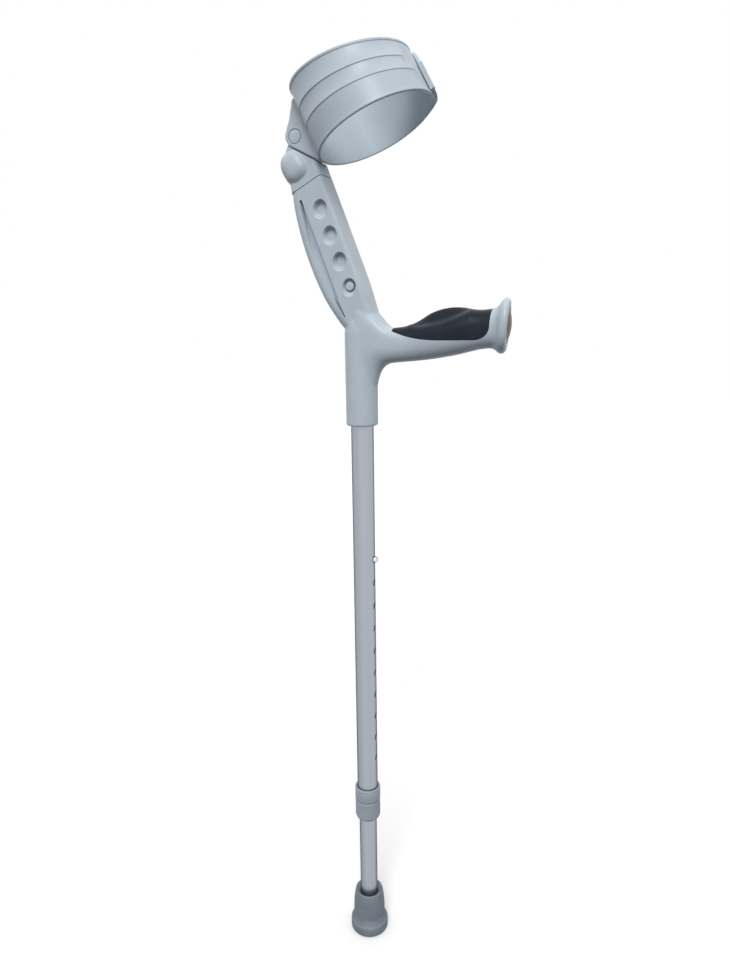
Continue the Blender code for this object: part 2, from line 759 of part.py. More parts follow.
def housing_body():
    """Leaning part of the handle moulding, with the bowed rib along its back."""
    rows = []
    count = 16
    for step in range(count + 1):
        along = HOUSING_FOOT + (HOUSING_TOP - HOUSING_FOOT) * step / count
        narrow = 1 - ease((along - HOUSING_FOOT) / 0.045)
        depth = HOUSING_DEPTH - 0.0028 * narrow
        front_r = FRONT_EDGE_R + 0.006 * narrow
        back_r = BACK_EDGE_R + 0.004 * narrow
        back = rib_back(along)
        if along < RIB_FOOT:
            back = -GROOVE_LINE
        slope = TOP_SLOPE if step == count else 0.0
        rows.append((along, back, depth, back_r, front_r, slope))
    return guide("housing_body", lofted(housing_rings(rows)))


def groove_outline(slant):
    """Crescent between the housing and its bowed rib, as (along, out) pairs."""
    length = GROOVE_TO - GROOVE_FROM
    outline = [(GROOVE_FROM, -GROOVE_LINE - slant), (GROOVE_TO, -GROOVE_LINE - slant)]
    steps = 16
    for step in range(steps + 1):
        share = 1 - step / steps
        bow = GROOVE_BOW * math.sin(math.pi * share**GROOVE_SKEW)
        outline.append((GROOVE_FROM + length * share, -GROOVE_LINE - GROOVE_END - bow))
    return outline


def rib_groove(way):
    """Crescent groove in one side of the housing, whose front flank is slanted."""
    face = HOUSING_DEPTH / 2
    rings = []
    for side, slant in ((face + GROOVE_SINK, -GROOVE_SLANT), (face - GROOVE_SINK, GROOVE_SLANT)):
        rings.append([in_housing(along, out, way * side) for along, out in groove_outline(slant)])
    return lofted(rings)


def step_hole(number):
    """Dished hole in the near wall of the housing, one for each cuff height."""
    face = HOUSING_DEPTH / 2
    bore = CUFF_BUTTON_R + BUTTON_GAP
    proud = 0.001
    profile = [
        (0, -proud),
        (DISH_R + 0.0014, -proud),
        (DISH_R, 0),
        (DISH_R - 0.0014, DISH_DEPTH * 0.35),
        (bore, DISH_DEPTH),
        (bore, face - SHAFT_DEPTH / 2 + 0.004),
        (0, face - SHAFT_DEPTH / 2 + 0.004),
    ]
    at = in_housing(LOWEST_STEP + CUFF_STEP * number, 0.0, -face)
    return on_axis(turned(profile, BUTTON_STEPS), at, SIDE)


def handle_body(surface):
    """One moulding: socket on the tube, handle bar with its flared end, leaning slider housing."""
    socket = [
        (0, SOCKET_BOTTOM),
        (SOCKET_R - SOCKET_EDGE, SOCKET_BOTTOM),
        (SOCKET_R, SOCKET_BOTTOM + SOCKET_EDGE),
        (SOCKET_R, SOCKET_BOTTOM + SOCKET_TOP - 0.020),
        (SOCKET_R - 0.001, SOCKET_BOTTOM + SOCKET_TOP - 0.012),
        (SOCKET_R - 0.005, SOCKET_BOTTOM + SOCKET_TOP),
        (0, SOCKET_BOTTOM + SOCKET_TOP),
    ]
    made = place("handle_body", turned(socket, 48), surface)
    combine(made, housing_body(), "UNION")
    combine(made, guide("handle_bar", lofted([bar_ring(row) for row in BAR_ROWS])), "UNION")
    pocket = guide("pad_pocket", prism(pad_outline(GAP), 0.08))
    combine(pocket, pad_core("pad_spine", PAD_THICKNESS), "DIFFERENCE")
    combine(made, pocket, "DIFFERENCE")
    holes = together([step_hole(number) for number in range(CUFF_STEPS)])
    combine(made, guide("step_holes", holes), "DIFFERENCE")
    bore_top = TUBE_TOP + GAP + PLUG_FLANGE + GAP
    bore = cylinder(TUBE_OD / 2 + GAP, bore_top - SOCKET_BOTTOM + 0.01, (0, 0, SOCKET_BOTTOM - 0.01), UP, 44)
    combine(made, guide("tube_bore", bore), "DIFFERENCE")
    channel_foot = LOWEST_STEP - SHAFT_FOOT - 0.002
    channel = rounded_box(-CHANNEL_FRONT, CHANNEL_FRONT, CHANNEL_DEPTH, SHAFT_EDGE_R, SHAFT_EDGE_R, 3)
    rings = []
    for along in (channel_foot, HOUSING_TOP + 0.02):
        rings.append([in_housing(along, out, side) for out, side in channel])
    combine(made, guide("slider_channel", lofted(rings)), "DIFFERENCE")
    combine(made, guide("rib_grooves", together([rib_groove(-1), rib_groove(1)])), "DIFFERENCE")
    at, out = end_face()
    recess = cylinder(DISC_R + GAP, 0.02, at - out * (DISC_THICKNESS + 2 * GAP), out, DISC_STEPS)
    combine(made, guide("disc_recess", recess), "DIFFERENCE")
    return made


def tongue_outline():
    """Side outline of the head's tongue: a round eye on a neck, with a low step in front of it."""
    half = TONGUE_WIDTH / 2
    dip = math.asin(half / TONGUE_R) - math.pi / 2
    points = []
    steps = 18
    for step in range(steps + 1):
        turn = dip + (math.pi - 2 * dip) * step / steps
        points.append(PIVOT + (SEAM_ALONG * math.cos(turn) + SEAM_UP * math.sin(turn)) * TONGUE_R)
    foot = PIVOT - SEAM_UP * (SEAM_DROP + TONGUE_ROOT)
    step_top = PIVOT - SEAM_UP * (SEAM_DROP - TONGUE_STEP)
    points += [foot - SEAM_ALONG * half, foot + SEAM_ALONG * TONGUE_STEP_TO]
    points += [step_top + SEAM_ALONG * TONGUE_STEP_TO, step_top + SEAM_ALONG * half]
    return [(point.x, point.z) for point in points]


def cuff_slider(surface):
    """Square shaft in the housing, with the head that carries the cuff's tongue."""
    edges = (HOUSING_DEPTH, 0.005, FRONT_EDGE_R)
    rows = [
        (HEAD_FOOT, -HOUSING_BACK, *edges, TOP_SLOPE),
        (NECK_ALONG, -NECK_BACK, *edges, 0.0),
        (PIVOT_ALONG - 0.0045, -HEAD_TOP_BACK, *edges, 0.0),
        (PIVOT_ALONG + 0.010, -HEAD_TOP_BACK, *edges, 0.0),
    ]
    made = place("cuff_slider", lofted(housing_rings(rows)), surface)
    bulge = bmesh.new()
    bmesh.ops.create_uvsphere(bulge, u_segments=20, v_segments=12, radius=1.0)
    size = Matrix.Diagonal((BULGE_WIDTH_R, BULGE_DEPTH_R, BULGE_LENGTH_R, 1.0))
    lean = Matrix.Rotation(-HOUSING_TILT, 4, "Y")
    centre = in_housing(PIVOT_ALONG - BULGE_ALONG, -BULGE_BACK)
    bmesh.ops.transform(bulge, matrix=Matrix.Translation(centre) @ lean @ size, verts=bulge.verts)
    knob = guide("head_bulge", bulge)
    under = slab(in_housing(HEAD_FOOT + 0.001 - 0.02, 0.0), OUT_HOUSING, UP_HOUSING, (0.1, 0.1, 0.04))
    combine(knob, guide("bulge_foot", under), "DIFFERENCE")
    combine(made, knob, "UNION")
    above = PIVOT + SEAM_UP * (0.05 - SEAM_DROP)
    combine(made, guide("seam_cut", slab(above, SEAM_ALONG, SEAM_UP, (0.2, 0.1, 0.1))), "DIFFERENCE")
    tongue = guide("tongue", prism(tongue_outline(), TONGUE_THICKNESS))
    bore = cylinder(PIVOT_R + GAP, 0.04, PIVOT - SIDE * 0.02, SIDE)
    combine(tongue, guide("tongue_bore", bore), "DIFFERENCE")
    combine(made, tongue, "UNION")
    shaft = rounded_box(-SHAFT_FRONT, SHAFT_FRONT, SHAFT_DEPTH, SHAFT_EDGE_R, SHAFT_EDGE_R, 3)
    rings = []
    for along in (LOWEST_STEP - SHAFT_FOOT, HEAD_FOOT + 0.006):
        rings.append([in_housing(along, out, side) for out, side in shaft])
    combine(made, guide("slider_shaft", lofted(rings)), "UNION")
    wall = SHAFT_DEPTH / 2 - CUFF_BUTTON_WALL
    pocket_width = 2 * (CUFF_BUTTON_FLANGE_R + GAP)
    pocket_height = SHAFT_FOOT + CUFF_BUTTON_FLANGE_R + 0.002
    top = LOWEST_STEP + CUFF_BUTTON_FLANGE_R + GAP
    middle = in_housing(top - pocket_height / 2 - 0.001, 0.0)
    pocket = slab(middle, OUT_HOUSING, UP_HOUSING, (pocket_width, 2 * wall, pocket_height + 0.002))
    combine(made, guide("button_pocket", pocket), "DIFFERENCE")
    hole = cylinder(CUFF_BUTTON_R + BUTTON_GAP, 0.006, BUTTON_AT - SIDE * (wall + 0.004), SIDE, BUTTON_STEPS)
    combine(made, guide("button_hole", hole), "DIFFERENCE")
    return made


def cuff_button(surface):
    """Flanged push button that locks the slider in one dished hole."""
    wall = SHAFT_DEPTH / 2 - CUFF_BUTTON_WALL
    face = HOUSING_DEPTH / 2 - CUFF_BUTTON_SINK
    flange_top = wall - GAP
    flange_foot = flange_top - CUFF_BUTTON_FLANGE
    profile = [
        (0, flange_foot),
        (CUFF_BUTTON_FLANGE_R, flange_foot),
        (CUFF_BUTTON_FLANGE_R, flange_top),
        (CUFF_BUTTON_R, flange_top),
        (CUFF_BUTTON_R, face - 0.0006),
        (CUFF_BUTTON_R - 0.0006, face),
        (0, face + 0.0001),
    ]
    return place("cuff_button", on_axis(turned(profile, BUTTON_STEPS), BUTTON_AT, -SIDE), surface)


def button_coil(surface):
    """Coil spring between the push button and the far wall of the slider's pocket."""
    wall = SHAFT_DEPTH / 2 - CUFF_BUTTON_WALL
    start = -(wall - GAP - CUFF_BUTTON_FLANGE - GAP) + COIL_WIRE_R
    end = wall - GAP - COIL_WIRE_R
    per_turn = 10
    total = COIL_TURNS * per_turn
    rings = []
    for step in range(total + 1):
        angle = math.tau * step / per_turn
        out = OUT_HOUSING * math.cos(angle) + UP_HOUSING * math.sin(angle)
        rise = start + (end - start) * step / total
        middle = BUTTON_AT + out * COIL_R + SIDE * rise
        ring = []
        for corner in range(4):
            turn = math.tau * corner / 4
            ring.append(middle + (out * math.cos(turn) + SIDE * math.sin(turn)) * COIL_WIRE_R)
        rings.append(ring)
    return place("button_coil", lofted(rings), surface)


def rim_point(x, z, radius, lean, angle):
    """Point on one rim of the band. Angle 0 is at the back, and 90 degrees is at the near side."""
    forward = Vector((math.cos(lean), 0, math.sin(lean)))
    turn = math.radians(angle)
    centre = PIVOT + Vector((x, 0, z))
    return centre - forward * (radius * math.cos(turn)) - SIDE * (radius * math.sin(turn))


def band_frame(angle):
    """Outer low edge, outer high edge and outward direction of the band at one angle."""
    low = rim_point(LOW_RIM_X, LOW_RIM_Z, LOW_RIM_R, LOW_RIM_LEAN, angle)
    high = rim_point(HIGH_RIM_X, HIGH_RIM_Z, HIGH_RIM_R, HIGH_RIM_LEAN, angle)
    ahead = rim_point(LOW_RIM_X, LOW_RIM_Z, LOW_RIM_R, LOW_RIM_LEAN, angle + 1.0) - low
    rise = (high - low).normalized()
    outward = ahead.cross(rise).normalized()
    if outward.dot(low - (PIVOT + Vector((LOW_RIM_X, 0, LOW_RIM_Z)))) < 0:
        outward = -outward
    return low, high, outward


def band_section(angle):
    """Section of the band wall, with raised rims and two fine lines cut in its outer face."""
    low, high, outward = band_frame(angle)
    height = (high - low).length
    rise = (high - low) / height
    overlap = ease((OVERLAP_FROM - angle) / (OVERLAP_FROM - OVERLAP_FULL))
    shift = (BAND_WALL + RIM_PROUD + OVERLAP_GAP) * overlap
    on_tab = ease((FAR_END + TAB_ANGLE - angle) / 0.6)
    tab = on_tab * TAB_PROUD
    wall = BAND_WALL
    proud = BAND_WALL + RIM_PROUD
    bead = BAND_WALL + RIM_PROUD * (1 - on_tab)
    narrow = ease((FAR_END + TRIM_ANGLE - angle) / TRIM_ANGLE)
    low_trim = TAB_LOW_TRIM * narrow
    squeeze = (height - low_trim - TAB_HIGH_TRIM * narrow) / height
    rim = [(0.0, 0.0), (0.0, bead - 0.0007), (0.0008, bead), (RIM_HEIGHT - 0.0007, bead), (RIM_HEIGHT, wall)]
    outline = list(rim)
    for share, fade_end in LINES:
        at = height * share
        sunk = LINE_DEPTH * (1 - ease((abs(angle) - fade_end + LINE_FADE) / LINE_FADE)) * (1 - overlap)
        outline += [(at - LINE_WIDTH / 2, wall), (at, wall - sunk), (at + LINE_WIDTH / 2, wall)]
    outline += [(height - rise_at, out) for rise_at, out in reversed(rim)]
    points = []
    for rise_at, out in outline:
        lift = tab if out > wall / 3 else 0.0
        points.append(low + rise * (low_trim + rise_at * squeeze) + outward * (out - proud + shift + lift))
    return points


def band_angles():
    """Stations round the band, closer together at the tab."""
    angles = [FAR_END, FAR_END + TAB_ANGLE * 0.5, FAR_END + TAB_ANGLE - 0.6, FAR_END + TAB_ANGLE]
    count = round((NEAR_END - angles[-1]) / BAND_STEP)
    start = angles[-1]
    angles += [start + (NEAR_END - start) * step / count for step in range(1, count + 1)]
    return angles


def bracket_outline():
    """Side outline of the fork behind the band, round the pivot and along the seam."""
    low, high, _ = band_frame(0.0)
    rise = (high - low).normalized()
    inward = Vector((rise.z, 0, -rise.x))
    inside = inward * (RIM_PROUD + BAND_WALL * 0.75)
    top = high - rise * 0.0045 + inside
    bottom = low + rise * 0.0025 + inside
    outer_top = high - rise * 0.0055 - inward * 0.0002
    points = [bottom, top, outer_top]
    for angle, radius in FORK_BACK:
        turn = math.radians(angle)
        points.append(PIVOT + Vector((math.cos(turn), 0, math.sin(turn))) * radius)
    foot = PIVOT - SEAM_UP * (SEAM_DROP - SEAM_GAP)
    points.append(foot - SEAM_ALONG * FORK_HEEL)
    reach = (low + rise * 0.0010 - foot).dot(SEAM_ALONG)
    points.append(foot + SEAM_ALONG * reach)
    return [(point.x, point.z) for point in points]


def slot_outline():
    """Side outline of the fork's slot: round over the tongue's eye, open to the back and downwards."""
    front = TONGUE_WIDTH / 2 + FORK_GAP
    start = -SEAM_SLOPE - math.acos(front / FORK_SLOT_R)
    points = []
    steps = 14
    for step in range(steps + 1):
        turn = start + (math.pi / 2 - start) * step / steps
        points.append(PIVOT + Vector((math.cos(turn), 0, math.sin(turn))) * FORK_SLOT_R)
    points.append(PIVOT + Vector((-0.04, 0, FORK_SLOT_R)))
    points.append(PIVOT + Vector((-0.04, 0, -0.04)))
    step_front = TONGUE_STEP_TO + FORK_GAP
    step_top = PIVOT - SEAM_UP * (SEAM_DROP - TONGUE_STEP - FORK_GAP)
    points.append(PIVOT - SEAM_UP * 0.04 + SEAM_ALONG * step_front)
    points.append(step_top + SEAM_ALONG * step_front)
    points.append(step_top + SEAM_ALONG * front)
    return [(point.x, point.z) for point in points]


def stepped_bore():
    """Bore of the pin through the fork, with a seat for its flat head and its cap."""
    seat = BRACKET_DEPTH / 2 - PIVOT_CAP - GAP
    beyond = BRACKET_DEPTH / 2 + 0.01
    wide = PIVOT_CAP_R + GAP
    thin = PIVOT_R + GAP
    profile = [(0, -beyond), (wide, -beyond), (wide, -seat), (thin, -seat), (thin, seat), (wide, seat)]
    profile += [(wide, beyond), (0, beyond)]
    return on_axis(turned(profile, 28), PIVOT, SIDE)


def cuff(surface):
    """Closed arm band with overlapping ends and the fork that hinges on the slider's head."""
    fork = guide("cuff_fork", prism(bracket_outline(), BRACKET_DEPTH))
    soften = fork.modifiers.new("Edge", "BEVEL")
    soften.width = BRACKET_EDGE
    soften.segments = 2
    soften.limit_method = "ANGLE"
    soften.angle_limit = math.radians(60)
    slot = prism(slot_outline(), TONGUE_THICKNESS + 2 * FORK_GAP)
    combine(fork, guide("fork_slot", slot), "DIFFERENCE")
    combine(fork, guide("fork_bore", stepped_bore()), "DIFFERENCE")
    made = place("cuff", lofted([band_section(angle) for angle in band_angles()]), surface, 40.0)
    combine(made, fork, "UNION")
    return made


def pivot_pin(surface):
    """Pin with a flat round head, through the fork and the tongue."""
    face = BRACKET_DEPTH / 2
    head = face - PIVOT_CAP
    end = face - PIVOT_CAP * 0.5 - GAP
    profile = [
        (0, -end),
        (PIVOT_R - 0.0003, -end),
        (PIVOT_R, -end + 0.0003),
        (PIVOT_R, head),
        (PIVOT_CAP_R, head),
        (PIVOT_CAP_R, face - 0.0003),
        (PIVOT_CAP_R - 0.0003, face),
        (0, face),
    ]
    return place("pivot_pin", on_axis(turned(profile, 24), PIVOT, -SIDE), surface)


def pivot_cap(surface):
    """Press-on cap on the far end of the pin."""
    face = BRACKET_DEPTH / 2
    foot = face - PIVOT_CAP
    seat = face - PIVOT_CAP * 0.5
    profile = [
        (0, seat),
        (PIVOT_R + GAP, seat),
        (PIVOT_R + GAP, foot),
        (PIVOT_CAP_R, foot),
        (PIVOT_CAP_R, face - 0.0003),
        (PIVOT_CAP_R - 0.0003, face),
        (0, face),
    ]
    return place("pivot_cap", on_axis(turned(profile, 24), PIVOT, SIDE), surface)


def main():
    """Build every piece and hang the moving ones on their joints."""
    for old in list(bpy.data.objects):
        bpy.data.objects.remove(old, do_unlink=True)
    grey = material("grey_polypropylene", (0.42, 0.48, 0.52), 0.38)
    dark_grey = material("grey_collar_plastic", (0.30, 0.34, 0.38), 0.42)
    metal = material("satin_aluminium", (0.66, 0.68, 0.71), 0.32, 1.0)
    bright = material("chromed_steel", (0.80, 0.80, 0.80), 0.12, 1.0)
    spring = material("spring_steel", (0.55, 0.55, 0.56), 0.30, 1.0)
    zinc = material("zinc_plated_steel", (0.62, 0.63, 0.64), 0.35, 1.0)
    soft = material("black_soft_grip", (0.035, 0.045, 0.055), 0.55)
    brown = material("brown_end_disc", (0.13, 0.09, 0.09), 0.45)
    rubber = material("grey_rubber", (0.17, 0.20, 0.23), 0.65)
    nylon = material("white_nylon", (0.80, 0.80, 0.78), 0.45)

    handle = handle_body(grey)
    for piece in (grip_pad(soft), end_disc(brown), upper_tube(metal), tube_plug(nylon)):
        carry(piece, handle)
    carry(clamp_sleeve(dark_grey), handle)
    carry(clamp_collet(nylon), handle)

    height_joint = joint_origin("height_slide_origin", (0, 0, SNAP_Z))
    leg = (lower_tube(metal), glide_bush(nylon), rubber_foot(rubber), foot_washer(zinc), snap_clip(spring))
    for piece in leg:
        carry(piece, height_joint)
    snap_joint = joint_origin("snap_press_origin", (TUBE_OD / 2, 0, SNAP_Z))
    carry(snap_button(bright), snap_joint)
    nut_joint = joint_origin("nut_turn_origin", (0, 0, SLEEVE_BOTTOM))
    carry(clamp_nut(dark_grey), nut_joint)
    slider_joint = joint_origin("cuff_height_origin", BUTTON_AT)
    carry(cuff_slider(grey), slider_joint)
    carry(button_coil(spring), slider_joint)
    press_joint = joint_origin("cuff_press_origin", BUTTON_AT - SIDE * (HOUSING_DEPTH / 2))
    carry(cuff_button(grey), press_joint)
    tilt_joint = joint_origin("cuff_tilt_origin", PIVOT)
    for piece in (cuff(grey), pivot_pin(grey), pivot_cap(grey)):
        carry(piece, tilt_joint)
    carry(snap_joint, height_joint)
    carry(press_joint, slider_joint)
    carry(tilt_joint, slider_joint)


main()
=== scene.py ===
"""Looks of a forearm crutch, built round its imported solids.

Lengths are in metres. Z is up, the handle points along +X, and the side with the push
button of the cuff post faces -Y.
"""

import sys
import json
import logging
import math
from dataclasses import dataclass
from enum import Enum
from typing import Callable, Iterable, Sequence

import bmesh
import bpy
from mathutils import Matrix, Vector


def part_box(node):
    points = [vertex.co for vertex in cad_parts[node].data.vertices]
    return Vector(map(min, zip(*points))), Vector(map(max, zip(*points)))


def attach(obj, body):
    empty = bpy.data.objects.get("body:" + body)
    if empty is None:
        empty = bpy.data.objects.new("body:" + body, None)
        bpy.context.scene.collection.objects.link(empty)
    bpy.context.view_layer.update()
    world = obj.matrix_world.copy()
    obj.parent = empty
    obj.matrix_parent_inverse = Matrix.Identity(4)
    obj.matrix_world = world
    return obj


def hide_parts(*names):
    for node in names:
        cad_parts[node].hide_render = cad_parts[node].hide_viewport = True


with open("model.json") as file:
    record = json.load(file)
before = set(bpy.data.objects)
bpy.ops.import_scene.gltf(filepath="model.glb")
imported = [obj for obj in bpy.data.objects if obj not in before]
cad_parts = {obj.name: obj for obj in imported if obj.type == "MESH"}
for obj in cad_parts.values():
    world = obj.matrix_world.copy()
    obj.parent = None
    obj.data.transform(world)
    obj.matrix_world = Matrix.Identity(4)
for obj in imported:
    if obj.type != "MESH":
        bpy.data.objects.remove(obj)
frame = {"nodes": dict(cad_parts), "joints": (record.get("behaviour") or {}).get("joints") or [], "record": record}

LOG = logging.getLogger("crutch")
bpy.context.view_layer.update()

Ring = list[Vector]
Pair = tuple[float, float]
Triple = tuple[float, float, float]
Quad = tuple[float, float, float, float]

ORIGIN = Vector((0.0, 0.0, 0.0))
UP = Vector((0.0, 0.0, 1.0))
AHEAD = Vector((1.0, 0.0, 0.0))
SIDE = Vector((0.0, 1.0, 0.0))

# Play between two pieces, and how close two points are before they are merged
FIT = 0.0003
MERGE = 1e-6

# Outer radii of the upper tube and of the leg tube
TUBE_R = 0.011
LEG_R = 0.0095

# Height above the socket's foot at which the housing's axis leaves the tubes' axis
HOUSING_RISE = 0.1154


class Slot(Enum):
    """Material slots of the record."""

    MOULDING = "grey_polypropylene"
    COLLAR = "grey_collar_plastic"
    ALUMINIUM = "satin_aluminium"
    CHROME = "chromed_steel"
    SPRING = "spring_steel"
    ZINC = "zinc_plated_steel"
    GRIP = "black_soft_grip"
    DISC = "brown_end_disc"
    RUBBER = "grey_rubber"
    NYLON = "white_nylon"


class Combine(Enum):
    """Ways in which one solid works on another."""

    CUT = "DIFFERENCE"
    FUSE = "UNION"
    SHARE = "INTERSECT"


def ease(value: float) -> float:
    """Return a smooth step from 0 to 1."""
    value = min(max(value, 0.0), 1.0)
    return value * value * (3.0 - 2.0 * value)


def between(start: float, end: float, count: int) -> list[float]:
    """Return evenly spaced values, both ends among them."""
    return [start + (end - start) * step / (count - 1) for step in range(count)]


def mix(start: float, end: float, share: float) -> float:
    """Return the value that lies a share of the way from start to end."""
    return start + (end - start) * share


def direction(angle: float) -> Vector:
    """Return the unit direction in the plane of the handle, an angle in radians above +X."""
    return Vector((math.cos(angle), 0.0, math.sin(angle)))


def rod(radius: float, low: float, high: float) -> list[Pair]:
    """Return the profile of a plain cylinder."""
    return [(0.0, low), (radius, low), (radius, high), (0.0, high)]


def linear(colour: str) -> Quad:
    """Turn an sRGB hex colour into linear light.

    Args:
        colour: Six hex digits after a hash.

    Returns:
        Red, green, blue and a full alpha.
    """
    parts = [int(colour[place : place + 2], 16) / 255.0 for place in (1, 3, 5)]
    low = [part / 12.92 if part <= 0.04045 else ((part + 0.055) / 1.055) ** 2.4 for part in parts]
    return (low[0], low[1], low[2], 1.0)


def through(rows: Sequence[Sequence[float]], at: float) -> list[float]:
    """Read a table on a smooth curve through its rows.

    Args:
        rows: Rows whose first column rises.
        at: Value of the first column.

    Returns:
        The whole row at that value.
    """
    low = 0
    while low < len(rows) - 2 and rows[low + 1][0] < at:
        low += 1
    here, following = rows[low], rows[low + 1]
    before, after = rows[max(low - 1, 0)], rows[min(low + 2, len(rows) - 1)]
    span = following[0] - here[0]
    share = (at - here[0]) / span
    cube, square = share**3, share**2
    values = [at]
    for column in range(1, len(here)):
        leaving = (following[column] - before[column]) / (following[0] - before[0]) * span
        arriving = (after[column] - here[column]) / (after[0] - here[0]) * span
        values.append(
            (2 * cube - 3 * square + 1) * here[column]
            + (cube - 2 * square + share) * leaving
            + (3 * square - 2 * cube) * following[column]
            + (cube - square) * arriving
        )
    return values


def rounded_box(
    back: float, front: float, depth: float, back_r: float, front_r: float, arc: int = 9
) -> list[Pair]:
    """Return a corner-rounded rectangle as (out, side) pairs, counterclockwise from the front edge.

    Args:
        back: Where its back is, out from the axis.
        front: Where its front is.
        depth: Its size across.
        back_r: Radius of the back corners.
        front_r: Radius of the front corners.
        arc: Points on each corner.

    Returns:
        The pairs, as many as four times arc.
    """
    half = depth / 2
    corners = (
        (front - front_r, half - front_r, front_r, 0.0),
        (back + back_r, half - back_r, back_r, 90.0),
        (back + back_r, back_r - half, back_r, 180.0),
        (front - front_r, front_r - half, front_r, 270.0),
    )
    pairs = []
    for out, side, radius, start in corners:
        for angle in between(math.radians(start), math.radians(start + 90.0), arc):
            pairs.append((out + radius * math.cos(angle), side + radius * math.sin(angle)))
    return pairs


@dataclass(frozen=True)
class Lean:
    """Place, directions and shared sizes of the leaning housing, in which the cuff post slides."""

    origin: Vector
    up: Vector
    out: Vector
    # Outer faces in front of the axis and behind it, and the size across
    front: float = 0.012
    back: float = 0.0222
    depth: float = 0.0284
    # Slope of the top, and how far out its height is measured
    top_slope: float = math.tan(math.radians(5.0))
    top_slope_from: float = -0.013
    # The lowest height hole, and the cuff's pivot
    lowest_step: float = 0.0158
    pivot_along: float = 0.157
    pivot_out: float = 0.001

    def point(self, along: float, out: float, side: float = 0.0) -> Vector:
        """Return a point given along the housing, out towards its front, and sideways."""
        return self.origin + self.up * along + self.out * out + SIDE * side

    def ring(self, along: float, section: Iterable[Pair]) -> Ring:
        """Return one section square across the housing."""
        return [self.point(along, out, side) for out, side in section]


